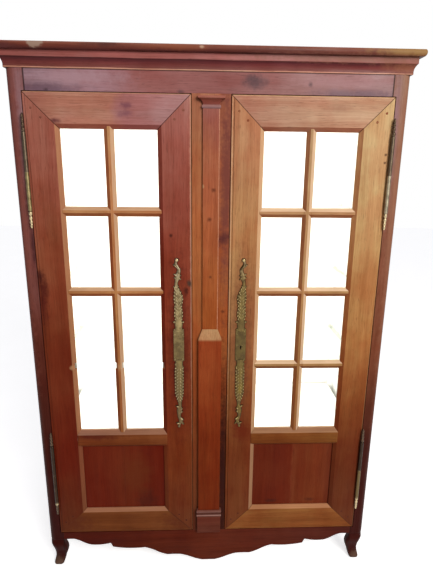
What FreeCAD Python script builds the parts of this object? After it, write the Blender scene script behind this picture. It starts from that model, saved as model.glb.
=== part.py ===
import FreeCAD, Part
import math
import os

Vec = FreeCAD.Vector

# A glazed two-door armoire: +Z up, front towards -Y, origin on the floor under the middle.
# Overall sizes, in millimetres
body_width = 1296.0
body_depth = 500.0
sill_height = 160.0
door_height = 1666.0
frieze_height = 68.0
cornice_height = 70.0
cornice_projection = 28.0

# Carcass posts and rails
post_face = 48.0
post_depth = 64.0
post_corner_radius = 25.0
rear_post_depth = 60.0
centre_face = 131.0
centre_post_depth = 60.0
front_rail_thickness = 36.0
stop_lap = 10.0
stop_clearance = 0.5
frame_tenon = 32.0
frame_tenon_thickness = 10.0
frame_tenon_shoulder = 10.0

# Sides and back: frames with loose panels
side_rail_thickness = 30.0
side_rail_setback = 6.0
side_rail_height = 100.0
side_bottom_low = 130.0
side_mid_low = 545.0
back_rail_thickness = 26.0
back_rail_setback = 14.0
back_rail_height = 100.0
back_bottom_low = 125.0
back_muntin_width = 90.0
carcass_panel_thickness = 10.0
carcass_groove_depth = 9.0
panel_play = 1.0

# Front foot: sections from the knee down, as height, inner and outer side measured from the
# post's inner face, front and back measured from its front, then the rounds of the outer front
# corner, of the inner back corner and of the other two
foot_top = 127.0
foot_depth = 42.0
foot_back_round = 26.0
foot_sections = [
    (108.0, -2.0, 56.0, -2.0, 42.0, 20.0, 24.0, 8.0),
    (90.0, -8.0, 51.0, -3.0, 43.0, 18.0, 24.0, 9.0),
    (70.0, -11.0, 45.0, 2.0, 44.0, 15.0, 22.0, 10.0),
    (50.0, -5.0, 42.0, 5.0, 43.0, 12.0, 18.0, 11.0),
    (34.0, 1.0, 43.0, 5.0, 42.0, 12.0, 16.0, 11.0),
    (16.0, 6.0, 47.0, -1.0, 40.0, 12.0, 14.0, 11.0),
    (0.0, 13.0, 41.0, 5.0, 33.0, 9.0, 9.0, 9.0),
]
sharp_corner = 1.0

# Scalloped apron: lower edge heights, outer part measured from the post, inner part from the middle
apron_tenon_low = 3.0
apron_tenon_high = 4.0
apron_ease = 0.2
apron_flat = 40.0
apron_ogee_end = 108.0
apron_ogee_low = 97.0
apron_ogee_sag = 1.0
apron_cusp = 188.0
apron_cusp_high = 103.0
apron_cusp_low = 84.0
apron_step = 9.0
apron_mid_low = 78.0
apron_mid_sag = 2.0
apron_mid_end = 262.0
apron_lobe_start = 170.0
apron_lobe_low = 40.0
apron_lobe_rise = 1.0
apron_lobe_end = 116.0
apron_centre_half = 26.0
apron_centre_low = 10.0

# A cove's hollow: how far along and how far out its arc is pinned, as shares of the cove
cove_bend = 0.6
cove_hollow = 0.25

# Cornice: base thickness on the frame, projection and height of each member
cornice_base = 14.0
cornice_fillet_height = 5.0
cornice_fillet_out = 1.2
cornice_cove_top = 31.0
cornice_fascia_out = 11.0
cornice_soffit_height = 50.0
cornice_lip_out = 24.0
cornice_crown_back = 3.0
top_board_thickness = 14.0
top_board_count = 3

# Pilaster: half widths and projections from the centre post's face
pilaster_plinth_height = 76.0
pilaster_plinth_half = 47.0
pilaster_plinth_out = 16.0
pilaster_reed_height = 10.0
pilaster_reed_count = 3
pilaster_reed_swell = 2.5
pilaster_step_height = 829.0
pilaster_lower_half = 42.0
pilaster_lower_out = 13.0
pilaster_slope_foot = 7.0
pilaster_slope_height = 37.0
pilaster_upper_half = 27.5
pilaster_upper_out = 8.0
pilaster_cap_height = 38.0
pilaster_collar_height = 12.0
pilaster_collar_swell = 3.5
pilaster_cove_height = 19.0
pilaster_fascia_half = 44.0
pilaster_fascia_out = 18.0
pilaster_cap_gap = 8.0

# Doors: mitred frame with a stepped lip outside and a bevel inside
door_gap = 2.0
door_proud = 3.0
door_thickness = 26.0
frame_width = 110.0
lip_width = 10.0
lip_drop = 2.5
lip_radius = 2.5
bevel_width = 14.0
bevel_depth = 7.0
door_tenon_offset = 9.0
door_tenon_thickness = 9.0
door_tenon_near = 35.0
door_tenon_inner = 15.0
door_tenon_stop = 15.0
mid_rail_low = 392.0
mid_rail_lower_bevel = 8.0
mid_rail_face = 44.0
mid_rail_upper_bevel = 20.0
mid_tenon_shoulder = 5.0
mid_tenon_length = 55.0
panel_offset = 12.0
panel_thickness = 9.0
groove_depth = 8.0
peg_radius = 4.0
peg_play = 0.1
peg_places = [(25.0, 50.0), (54.0, 78.0)]

# Glazing: bars with a narrow nose between slopes, panes in a rebate, putty behind
pane_rows = 4
lost_bar = 1
bar_width = 32.5
bar_nose_width = 9.0
bar_nose_drop = 2.5
bar_edge_drop = 9.0
bar_tongue_width = 10.0
bar_back_inset = 2.0
rebate_width = 10.0
rebate_drop = 13.0
glass_thickness = 3.0
glass_play = 1.0
putty_width = 8.0
putty_edge = 1.0
lost_seat_half = 12.0
lost_seat_depth = 7.0
lost_seat_drop = 4.0

# Hinges: long barrels with turned finials, leaves let into door edge and post
hinge_from_top = 248.0
hinge_from_bottom = 278.0
hinge_standoff = 7.0
barrel_radius = 6.5
barrel_length = 125.0
knuckle_gap = 0.4
hinge_pin_radius = 3.5
hinge_pin_length = 90.0
hinge_pin_play = 0.3
leaf_thickness = 2.5
leaf_root = 4.5
leaf_margin = 4.0
leaf_low = 15.0
leaf_high = 110.0
finial_neck = 3.2
finial_beads = [(6.4, 16.0), (5.6, 14.0), (5.0, 13.0)]
finial_tip = (4.2, 15.0)
finial_end_radius = 0.8

# Long key plates, one blind and one with a keyhole: half widths and heights from the middle
lock_height = 805.0
plate_from_edge = 47.5
plate_thickness = 3.0
plate_middle_half = 19.0
plate_middle_height = 57.0
plate_neck = (9.0, 62.0)
plate_lobes = [
    ((14.0, 82.0), (7.0, 102.0)),
    ((13.0, 122.0), (6.0, 151.0)),
    ((16.0, 182.0), (4.5, 240.0)),
    ((10.0, 261.0), (4.0, 284.0)),
]
plate_stem_half = 4.0
plate_stem_end = 312.0
plate_ball = (7.0, 322.0)
plate_end = (2.0, 330.0)
nail_radius = 1.0
nail_play = 0.1
nail_length = 13.0
nail_head_radius = 2.6
nail_head_height = 1.2
nail_places = [(-14.0, 48.0), (14.0, 48.0), (-14.0, -48.0), (14.0, -48.0),
               (0.0, 182.0), (0.0, -182.0)]
keyhole_radius = 3.2
keyhole_slot_width = 3.6
keyhole_slot_height = 12.0

# Rim lock on the right door
lock_from_edge = 16.0
lock_width = 76.0
lock_case_height = 110.0
lock_thickness = 18.0
lock_wall = 5.0
lock_bolt_thickness = 7.0
lock_bolt_half = 8.0
lock_bolt_length = 56.0
lock_bolt_throw = 14.0
lock_channel_spare = 10.0
bolt_play = 0.4
strike_play = 1.5

# Slide bolts inside the left door
slide_bolt_length = 150.0
slide_bolt_half = 6.0
slide_bolt_thickness = 7.0
slide_bolt_throw = 14.0
slide_bolt_end_gap = 2.0
slide_knob_radius = 5.0
slide_knob_height = 11.0
guide_half = 15.0
guide_plate_thickness = 2.0
guide_plate_length = 120.0
guide_bridge_width = 14.0
guide_bridge_wall = 3.0
guide_bridge_from_end = 8.0

# Inside: floor, wooden shelf behind the middle rail, glass shelves behind the bars
board_thickness = 18.0
floor_top = 168.0
board_count = 3
board_play = 0.5
wood_shelf_from_mid_rail = 35.0
shelf_glass_thickness = 8.0
shelf_play = 1.0
shelf_middle_gap = 3.0
shelf_front_gap = 6.0
shelf_back_gap = 2.0
bearer_thickness = 18.0
bearer_height = 24.0
bearer_front = 40.0
bearer_rear_lap = 16.0
centre_bearer_half = 20.0
floor_bearer_width = 32.0
floor_bearer_height = 20.0
floor_bearer_end_gap = 4.0

# Shaping: how far a cut runs past the piece, and the gap of a quarter round in its corner
cut_over = 1.0
round_inset = 1 - math.sqrt(0.5)

# Places that follow from the sizes above
side = body_width / 2
front = (cornice_projection - body_depth) / 2
back = front + body_depth
post_back = front + post_depth
rear_front = back - rear_post_depth
door_low = sill_height
door_high = sill_height + door_height
carcass_top = door_high + frieze_height
cornice_top = carcass_top + cornice_height
door_edge = side - post_face
door_inner = centre_face / 2
post_inner = door_edge - stop_lap
door_face = front - door_proud
door_back = door_face + door_thickness
stop_face = door_back + stop_clearance
rail_back = front + front_rail_thickness
centre_back = front + centre_post_depth
side_rail_out = side - side_rail_setback
side_rail_in = side_rail_out - side_rail_thickness
side_panel_in = side_rail_in + (side_rail_thickness - carcass_panel_thickness) / 2
back_rail_out = back - back_rail_setback
back_rail_in = back_rail_out - back_rail_thickness
back_panel_in = back_rail_in + (back_rail_thickness - carcass_panel_thickness) / 2
glass_left = door_inner + frame_width
glass_right = door_edge - frame_width
bar_middle = (glass_left + glass_right) / 2
mid_rail_top = mid_rail_low + mid_rail_lower_bevel + mid_rail_face + mid_rail_upper_bevel
glass_low = door_low + mid_rail_top
glass_high = door_high - frame_width
glass_face = door_face + rebate_drop
bar_back = door_back - bar_back_inset
leaf_reach = door_thickness - leaf_margin
pane_height = (glass_high - glass_low - (pane_rows - 1) * bar_width) / pane_rows
bar_heights = [glass_low + (row + 1) * pane_height + (row + 0.5) * bar_width
               for row in range(pane_rows - 1)]
hinge_x = door_edge + door_gap / 2
hinge_y = door_face - hinge_standoff
hinge_heights = [door_low + hinge_from_bottom, door_high - hinge_from_top]
plate_x = door_inner + plate_from_edge
lock_z = door_low + lock_height
lock_x = door_inner + lock_from_edge
slide_bolt_front = door_back + guide_plate_thickness + bolt_play


def box(x0, x1, y0, y1, z0, z1):
    """A block between two values on each axis."""
    return Part.makeBox(x1 - x0, y1 - y0, z1 - z0, Vec(x0, y0, z0))


def rod(x, y, z, radius, length, direction):
    """A round rod from a point along a direction."""
    return Part.makeCylinder(radius, length, Vec(x, y, z), direction)


def along_x(a, b):
    """A section point, depth and height, for a piece that runs along X."""
    return Vec(0, a, b)


def across_z(a, b):
    """A section point, height and depth, for a piece that runs along X."""
    return Vec(0, b, a)


def along_y(a, b):
    """A section point, side and height, for a piece that runs along Y."""
    return Vec(a, 0, b)


def along_z(a, b):
    """A section point, side and depth, for a piece that runs along Z."""
    return Vec(a, b, 0)


def section(steps, place):
    """A flat outline: a point ends a line, a pair of points (through, end) ends an arc."""
    edges = []
    here = steps[0]
    for step in steps[1:] + steps[:1]:
        if isinstance(step[0], tuple):
            through, end = step
            edges.append(Part.Arc(place(*here), place(*through), place(*end)).toShape())
        else:
            end = step
            edges.append(Part.makeLine(place(*here), place(*end)))
        here = end
    return Part.Face(Part.Wire(edges))


def run_x(steps, x0, x1):
    """A section swept along X."""
    solid = section(steps, along_x).extrude(Vec(x1 - x0, 0, 0))
    return solid.translated(Vec(x0, 0, 0))


def run_y(steps, y0, y1):
    """A section swept along Y."""
    solid = section(steps, along_y).extrude(Vec(0, y1 - y0, 0))
    return solid.translated(Vec(0, y0, 0))


def run_z(steps, z0, z1):
    """A section swept along Z."""
    solid = section(steps, along_z).extrude(Vec(0, 0, z1 - z0))
    return solid.translated(Vec(0, 0, z0))


def turned(steps, x, y):
    """A shape turned on the lathe about an upright axis, from an outline of radius and height."""
    solid = section(steps, along_y).revolve(Vec(0, 0, 0), Vec(0, 0, 1), 360)
    return solid.translated(Vec(x, y, 0))


def mirrored(shape):
    """The same piece on the other side of the cabinet."""
    return shape.mirror(Vec(0, 0, 0), Vec(1, 0, 0))


def both_sides(shape):
    """A piece and its twin on the other side."""
    return [shape, mirrored(shape)]


def cut_all(shape, cutters):
    """A piece with several others taken out of it."""
    for cutter in cutters:
        shape = shape.cut(cutter)
    return shape


def foot_wire(height, inner, outer, fore, aft, outer_radius, back_radius, radius):
    """One rounded section of the front foot, with its own rounds at two opposite corners."""
    x0 = post_inner + inner
    x1 = post_inner + outer
    y0 = front + fore
    y1 = front + aft
    corners = [
        (x0, y0, radius, 1, 1),
        (x1, y0, outer_radius, -1, 1),
        (x1, y1, radius, -1, -1),
        (x0, y1, back_radius, 1, -1),
    ]
    arcs = []
    for x, y, r, to_x, to_y in corners:
        near = r * round_inset
        upright = Vec(x, y + to_y * r, height)
        level = Vec(x + to_x * r, y, height)
        through = Vec(x + to_x * near, y + to_y * near, height)
        arcs.append((upright, through, level) if to_x == to_y else (level, through, upright))
    edges = []
    for arc, following in zip(arcs, arcs[1:] + arcs[:1]):
        edges.append(Part.Arc(*arc).toShape())
        edges.append(Part.makeLine(arc[2], following[0]))
    return Part.Wire(edges)


def front_post():
    """Right front post: rounded outer arris, door rebate, and a curved foot in one piece with it."""
    arris = post_corner_radius * round_inset
    post = run_z([
        (post_inner, post_back),
        (post_inner, front),
        (side - post_corner_radius, front),
        ((side - arris, front + arris), (side, front + post_corner_radius)),
        (side, post_back),
    ], foot_top, carcass_top)
    width = side - post_inner
    top_section = (foot_top, 0.0, width, 0.0, foot_depth, post_corner_radius, foot_back_round, sharp_corner)
    wires = [foot_wire(*values) for values in [top_section] + foot_sections]
    foot = Part.makeLoft(wires, True, False)
    rebate = box(post_inner - cut_over, door_edge + door_gap, front - cut_over, stop_face,
                 door_low - door_gap, door_high + door_gap)
    return post.fuse(foot).removeSplitter().cut(rebate)


def frieze_rail():
    """Upper front rail with a rebate for the doors and a tenon at each end."""
    rail = box(-post_inner, post_inner, front, rail_back, door_high - stop_lap, carcass_top)
    rebate = box(-post_inner - cut_over, post_inner + cut_over, front - cut_over, stop_face,
                 door_high - stop_lap - cut_over, door_high + door_gap)
    tenon = box(post_inner, post_inner + frame_tenon,
                front + frame_tenon_shoulder, front + frame_tenon_shoulder + frame_tenon_thickness,
                door_high + frame_tenon_shoulder, carcass_top - frame_tenon_shoulder)
    return rail.cut(rebate), tenon


def ogee(start, end):
    """An S in two arcs that eases from one height to another."""
    x0, z0 = start
    x1, z1 = end
    ease = (z1 - z0) * apron_ease
    middle = ((x0 + x1) / 2, (z0 + z1) / 2)
    return [(((x0 * 3 + x1) / 4, z0 + ease), middle), (((x0 + x1 * 3) / 4, z1 - ease), end)]


def apron_rail():
    """Lower front rail, its lower edge sawn in scallops about a deep middle lobe."""
    flat = (post_inner - apron_flat, foot_top)
    ogee_foot = (post_inner - apron_ogee_end, apron_ogee_low)
    cusp = (post_inner - apron_cusp, apron_cusp_high)
    step = (cusp[0] - apron_step, apron_cusp_low)
    mid_end = (apron_mid_end, apron_mid_low)
    lobe_start = (apron_lobe_start, apron_lobe_low)
    lobe_end = (apron_lobe_end, apron_lobe_low)
    half_right = [(post_inner, door_low + stop_lap), (post_inner, foot_top), flat]
    half_right += ogee(flat, ogee_foot)
    half_right.append((((ogee_foot[0] + cusp[0]) / 2, apron_ogee_low - apron_ogee_sag), cusp))
    half_right.append(step)
    half_right.append((((cusp[0] + apron_mid_end) / 2, apron_mid_low - apron_mid_sag), mid_end))
    half_right += ogee(mid_end, lobe_start)
    lobe_middle = ((apron_lobe_start + apron_lobe_end) / 2, apron_lobe_low + apron_lobe_rise)
    half_right.append((lobe_middle, lobe_end))
    half_right += ogee(lobe_end, (apron_centre_half, apron_centre_low))
    half_right += [(0.0, apron_centre_low), (0.0, door_low + stop_lap)]
    half = run_y(half_right, front, rail_back)
    rail = half.fuse(mirrored(half)).removeSplitter()
    rebate = box(-post_inner - cut_over, post_inner + cut_over, front - cut_over, stop_face,
                 door_low - door_gap, door_low + stop_lap + cut_over)
    tenon = box(post_inner, post_inner + frame_tenon,
                front + frame_tenon_shoulder, front + frame_tenon_shoulder + frame_tenon_thickness,
                foot_top + apron_tenon_low, door_low - apron_tenon_high)
    return rail.cut(rebate), tenon


def centre_post():
    """Fixed post between the doors, wider behind them as a stop, with a tenon at each end."""
    face_half = door_inner - door_gap
    stop_half = door_inner + stop_lap
    fore = box(-face_half, face_half, front, stop_face, door_low - door_gap, door_high + door_gap)
    aft = box(-stop_half, stop_half, stop_face, centre_back, door_low + stop_lap, door_high - stop_lap)
    y0 = front + frame_tenon_shoulder
    y1 = y0 + frame_tenon_thickness
    tenon_half = face_half / 2
    low = door_low - door_gap
    high = door_high + door_gap
    lower = box(-tenon_half, tenon_half, y0, y1, low - frame_tenon, low)
    upper = box(-tenon_half, tenon_half, y0, y1, high, high + frame_tenon)
    return fore.fuse(aft), [lower, upper]


def moulded_block(rows, foot, head):
    """A block on the post's face whose front and two ends carry the same moulding, mitred."""
    def side_point(row):
        return (row[1], row[0])

    def front_point(row):
        return (front - row[2], row[0])

    rising = []
    rising_front = []
    for row in rows:
        if isinstance(row[0], tuple):
            through, end = row
            rising.append((side_point(through), side_point(end)))
            rising_front.append((front_point(through), front_point(end)))
        else:
            rising.append(side_point(row))
            rising_front.append(front_point(row))
    points = [point for row in rows for point in (row if isinstance(row[0], tuple) else [row])]
    width = max(point[1] for point in points) + cut_over
    reach = max(point[2] for point in points) + cut_over
    right = run_y([(0.0, foot)] + rising + [(0.0, head)], front - reach, front)
    fore = run_x([(front, foot)] + rising_front + [(front, head)], -width, width)
    return right.fuse(mirrored(right)).removeSplitter().common(fore)


def pilaster():
    """The four stacked pieces of the pilaster, from plinth to capital."""
    foot = door_low
    plinth_top = foot + pilaster_plinth_height
    rows = [(foot, pilaster_plinth_half, pilaster_plinth_out),
            (plinth_top, pilaster_plinth_half, pilaster_plinth_out)]
    for reed in range(pilaster_reed_count):
        low = plinth_top + reed * pilaster_reed_height
        rows.append(((low + pilaster_reed_height / 2, pilaster_plinth_half + pilaster_reed_swell,
                      pilaster_plinth_out + pilaster_reed_swell),
                     (low + pilaster_reed_height, pilaster_plinth_half, pilaster_plinth_out)))
    base_top = plinth_top + pilaster_reed_count * pilaster_reed_height
    base = moulded_block(rows, foot, base_top)

    step = door_low + pilaster_step_height
    slope_foot = step + pilaster_slope_foot
    slope_top = slope_foot + pilaster_slope_height
    lower = moulded_block([
        (base_top, pilaster_lower_half, pilaster_lower_out),
        (slope_foot, pilaster_lower_half, pilaster_lower_out),
        (slope_top, pilaster_upper_half, pilaster_upper_out),
    ], base_top, slope_top)

    cap_top = door_high + door_gap - pilaster_cap_gap
    cap_foot = cap_top - pilaster_cap_height
    upper = moulded_block([
        (slope_top, pilaster_upper_half, pilaster_upper_out),
        (cap_foot, pilaster_upper_half, pilaster_upper_out),
    ], slope_top, cap_foot)

    collar_top = cap_foot + pilaster_collar_height
    cove_top = collar_top + pilaster_cove_height
    cove_half = pilaster_upper_half + (pilaster_fascia_half - pilaster_upper_half) * cove_hollow
    cove_out = pilaster_upper_out + (pilaster_fascia_out - pilaster_upper_out) * cove_hollow
    capital = moulded_block([
        (cap_foot, pilaster_upper_half, pilaster_upper_out),
        ((cap_foot + pilaster_collar_height / 2, pilaster_upper_half + pilaster_collar_swell,
          pilaster_upper_out + pilaster_collar_swell),
         (collar_top, pilaster_upper_half, pilaster_upper_out)),
        ((collar_top + pilaster_cove_height * cove_bend, cove_half, cove_out),
         (cove_top, pilaster_fascia_half, pilaster_fascia_out)),
        (cap_top, pilaster_fascia_half, pilaster_fascia_out),
    ], cap_foot, cap_top)
    return base, lower, upper, capital


def cornice_profile(face, outward):
    """Cornice section from a face outwards: fillet, cove, fascia, deep soffit and round crown."""
    def at(out, height):
        return (face + outward * out, carcass_top + height)

    cove_out = cornice_fillet_out + (cornice_fascia_out - cornice_fillet_out) * cove_hollow
    cove_height = cornice_fillet_height + (cornice_cove_top - cornice_fillet_height) * cove_bend
    crown_mid = (cornice_soffit_height + cornice_height) / 2
    return [
        at(-cornice_base, 0.0),
        at(cornice_fillet_out, 0.0),
        at(cornice_fillet_out, cornice_fillet_height),
        (at(cove_out, cove_height), at(cornice_fascia_out, cornice_cove_top)),
        at(cornice_fascia_out, cornice_soffit_height),
        at(cornice_lip_out, cornice_soffit_height),
        (at(cornice_projection, crown_mid), at(cornice_projection - cornice_crown_back, cornice_height)),
        at(-cornice_base, cornice_height),
    ]


def cornice():
    """Front cornice and its right return, mitred at the corner."""
    wide = side + cornice_projection
    fore = front - cornice_projection
    inner_x = side - cornice_base
    inner_y = front + cornice_base
    front_plan = [(-wide, fore), (wide, fore), (inner_x, inner_y), (-inner_x, inner_y)]
    side_plan = [(wide, fore), (wide, back), (inner_x, back), (inner_x, inner_y)]
    front_run = run_x(cornice_profile(front, -1), -wide, wide)
    side_run = run_y(cornice_profile(side, 1), fore, back)
    return (front_run.common(run_z(front_plan, carcass_top, cornice_top)),
            side_run.common(run_z(side_plan, carcass_top, cornice_top)))


def side_rails():
    """The three rails of the right side and their tenons, bottom to top."""
    rails = []
    tenons = []
    for low in (side_bottom_low, side_mid_low, carcass_top - side_rail_height):
        high = low + side_rail_height
        rails.append(box(side_rail_in, side_rail_out, post_back, rear_front, low, high))
        tenons.append(box(side_panel_in, side_panel_in + carcass_panel_thickness,
                          post_back - frame_tenon, rear_front + frame_tenon,
                          low + 2 * frame_tenon_shoulder, high - 2 * frame_tenon_shoulder))
    return rails, tenons


def side_pockets():
    """The spaces of the right side's two panels with their grooves."""
    spans = [(side_bottom_low + side_rail_height, side_mid_low),
             (side_mid_low + side_rail_height, carcass_top - side_rail_height)]
    return [box(side_panel_in, side_panel_in + carcass_panel_thickness,
                post_back - carcass_groove_depth, rear_front + carcass_groove_depth,
                low - carcass_groove_depth, high + carcass_groove_depth) for low, high in spans]


def panel_in(pocket):
    """A loose panel in its pocket: tight between the groove's faces, short at its edges."""
    limits = pocket.BoundBox
    thin_x = limits.XLength < limits.YLength
    play_x = 0.0 if thin_x else panel_play
    play_y = panel_play if thin_x else 0.0
    return box(limits.XMin + play_x, limits.XMax - play_x, limits.YMin + play_y, limits.YMax - play_y,
               limits.ZMin + panel_play, limits.ZMax - panel_play)


def back_frame():
    """Back rails, muntin and panel pockets, with the tenons of the rails and of the muntin."""
    bottom_high = back_bottom_low + back_rail_height
    top_low = carcass_top - back_rail_height
    bottom = box(-post_inner, post_inner, back_rail_in, back_rail_out, back_bottom_low, bottom_high)
    top = box(-post_inner, post_inner, back_rail_in, back_rail_out, top_low, carcass_top)
    muntin_half = back_muntin_width / 2
    muntin = box(-muntin_half, muntin_half, back_rail_in, back_rail_out, bottom_high, top_low)
    y0 = back_panel_in
    y1 = back_panel_in + carcass_panel_thickness
    rail_tenons = [box(post_inner, post_inner + frame_tenon, y0, y1,
                       low + 2 * frame_tenon_shoulder, low + back_rail_height - 2 * frame_tenon_shoulder)
                   for low in (back_bottom_low, top_low)]
    inset = muntin_half - 2 * frame_tenon_shoulder
    muntin_tenon = box(-inset, inset, y0, y1, bottom_high - frame_tenon, top_low + frame_tenon)
    pocket = box(muntin_half - carcass_groove_depth, post_inner + carcass_groove_depth, y0, y1,
                 bottom_high - carcass_groove_depth, top_low + carcass_groove_depth)
    return bottom, top, muntin, rail_tenons, muntin_tenon, pocket


def frame_member(outer, inner, place):
    """Section of a door frame member: stepped lip on its outer edge, bevel on its inner edge."""
    turn = math.copysign(1.0, inner - outer)
    lip_face = door_face + lip_drop
    near = lip_radius * round_inset
    return section([
        (outer, door_back),
        (outer, lip_face + lip_radius),
        ((outer + turn * near, lip_face + near), (outer + turn * lip_radius, lip_face)),
        (outer + turn * lip_width, lip_face),
        (outer + turn * lip_width, door_face),
        (inner - turn * bevel_width, door_face),
        (inner, door_face + bevel_depth),
        (inner, door_back),
    ], place)


def door_stile(outer, inner):
    """One upright of a door's frame, mitred at both ends."""
    mask = run_y([(outer, door_low), (outer, door_high), (inner, door_high - frame_width),
                  (inner, door_low + frame_width)], door_face - cut_over, door_back + cut_over)
    stile = frame_member(outer, inner, along_z).extrude(Vec(0, 0, door_height))
    return stile.translated(Vec(0, 0, door_low)).common(mask)


def door_rail(outer, inner):
    """The top or bottom rail of a door's frame, mitred at both ends."""
    mask = run_y([(door_inner, outer), (door_edge, outer), (glass_right, inner), (glass_left, inner)],
                 door_face - cut_over, door_back + cut_over)
    rail = frame_member(outer, inner, across_z).extrude(Vec(door_edge - door_inner, 0, 0))
    return rail.translated(Vec(door_inner, 0, 0)).common(mask)


def corner_tenons(edge, inward):
    """The two tenons of a top or bottom rail, at a door's outer edge height."""
    far = frame_width - door_tenon_inner
    z0, z1 = sorted((edge + inward * door_tenon_near, edge + inward * far))
    y0 = door_face + door_tenon_offset
    y1 = y0 + door_tenon_thickness
    return [box(door_inner + door_tenon_stop, glass_left + bevel_width, y0, y1, z0, z1),
            box(glass_right - bevel_width, door_edge - door_tenon_stop, y0, y1, z0, z1)]


def peg_rods(radius):
    """Round rods at a door's peg places, two at each corner."""
    rods = []
    for across, down in peg_places:
        for x in (door_inner + across, door_edge - across):
            for z in (door_low + down, door_high - down):
                rods.append(rod(x, door_face, z, radius, door_thickness, Vec(0, 1, 0)))
    return rods


def mid_rail_blank():
    """The rail between glass and panel before it is scribed to the stiles, and its tenon."""
    low = door_low + mid_rail_low
    face_low = low + mid_rail_lower_bevel
    face_high = face_low + mid_rail_face
    blank = run_x([
        (door_back, low),
        (door_face + bevel_depth, low),
        (door_face, face_low),
        (door_face, face_high),
        (door_face + bevel_depth, glass_low),
        (door_back, glass_low),
    ], glass_left - bevel_width, glass_right + bevel_width)
    y0 = door_face + door_tenon_offset
    tenon = box(glass_left - mid_tenon_length, glass_right + mid_tenon_length,
                y0, y0 + door_tenon_thickness,
                face_low + mid_tenon_shoulder, face_high - mid_tenon_shoulder)
    return blank, tenon


def bar_steps(middle, depth_first):
    """Section of a glazing bar: a nose between slopes, a tongue between the panes behind."""
    half = bar_width / 2
    nose = bar_nose_width / 2
    tongue = bar_tongue_width / 2
    outline = [
        (middle - nose, door_face + bar_nose_drop),
        (middle + nose, door_face + bar_nose_drop),
        (middle + half, door_face + bar_edge_drop),
        (middle + half, glass_face),
        (middle + tongue, glass_face),
        (middle + tongue, bar_back),
        (middle - tongue, bar_back),
        (middle - tongue, glass_face),
        (middle - half, glass_face),
        (middle - half, door_face + bar_edge_drop),
    ]
    return [(depth, across) for across, depth in outline] if depth_first else outline


def pane_spans(lost):
    """Heights of the panes' rows, sight line to sight line, without the bars that are lost."""
    kept = [height for index, height in enumerate(bar_heights) if index not in lost]
    lows = [glass_low] + [height + bar_width / 2 for height in kept]
    highs = [height - bar_width / 2 for height in kept] + [glass_high]
    return list(zip(lows, highs))


def panes_and_putty(lost):
    """Glass panes in their rebates, and a sloped line of putty behind each."""
    grown = rebate_width - glass_play
    tongue_grown = (bar_width - bar_tongue_width) / 2 - glass_play
    columns = [(glass_left - grown, bar_middle - bar_width / 2 + tongue_grown),
               (bar_middle + bar_width / 2 - tongue_grown, glass_right + grown)]
    spans = pane_spans(lost)
    panes = []
    putty = []
    for index, (low, high) in enumerate(spans):
        z0 = low - (grown if index == 0 else tongue_grown)
        z1 = high + (grown if index == len(spans) - 1 else tongue_grown)
        for x0, x1 in columns:
            panes.append(box(x0, x1, glass_face, glass_face + glass_thickness, z0, z1))
            putty.append(putty_ring(x0, x1, z0, z1, glass_face + glass_thickness, bar_back))
    return panes, putty


def putty_ring(x0, x1, z0, z1, y0, y1):
    """A line of putty round a pane, thick on the glass and thin at the back."""
    def opening(inset, y):
        points = [Vec(x0 + inset, y, z0 + inset), Vec(x1 - inset, y, z0 + inset),
                  Vec(x1 - inset, y, z1 - inset), Vec(x0 + inset, y, z1 - inset)]
        return Part.makePolygon(points + points[:1])

    hollow = Part.makeLoft([opening(putty_width, y0), opening(putty_edge, y1)], True, True)
    return box(x0, x1, y0, y1, z0, z1).cut(hollow)


def lost_seats():
    """The open seats that a lost bar leaves in the stiles and in the upright bar."""
    z = bar_heights[lost_bar - 1]
    half = bar_width / 2
    y0 = door_face + lost_seat_drop
    edges = [glass_left, bar_middle - half, bar_middle + half, glass_right]
    return [box(x - lost_seat_depth, x + lost_seat_depth, y0, glass_face,
                z - lost_seat_half, z + lost_seat_half) for x in edges]


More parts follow.
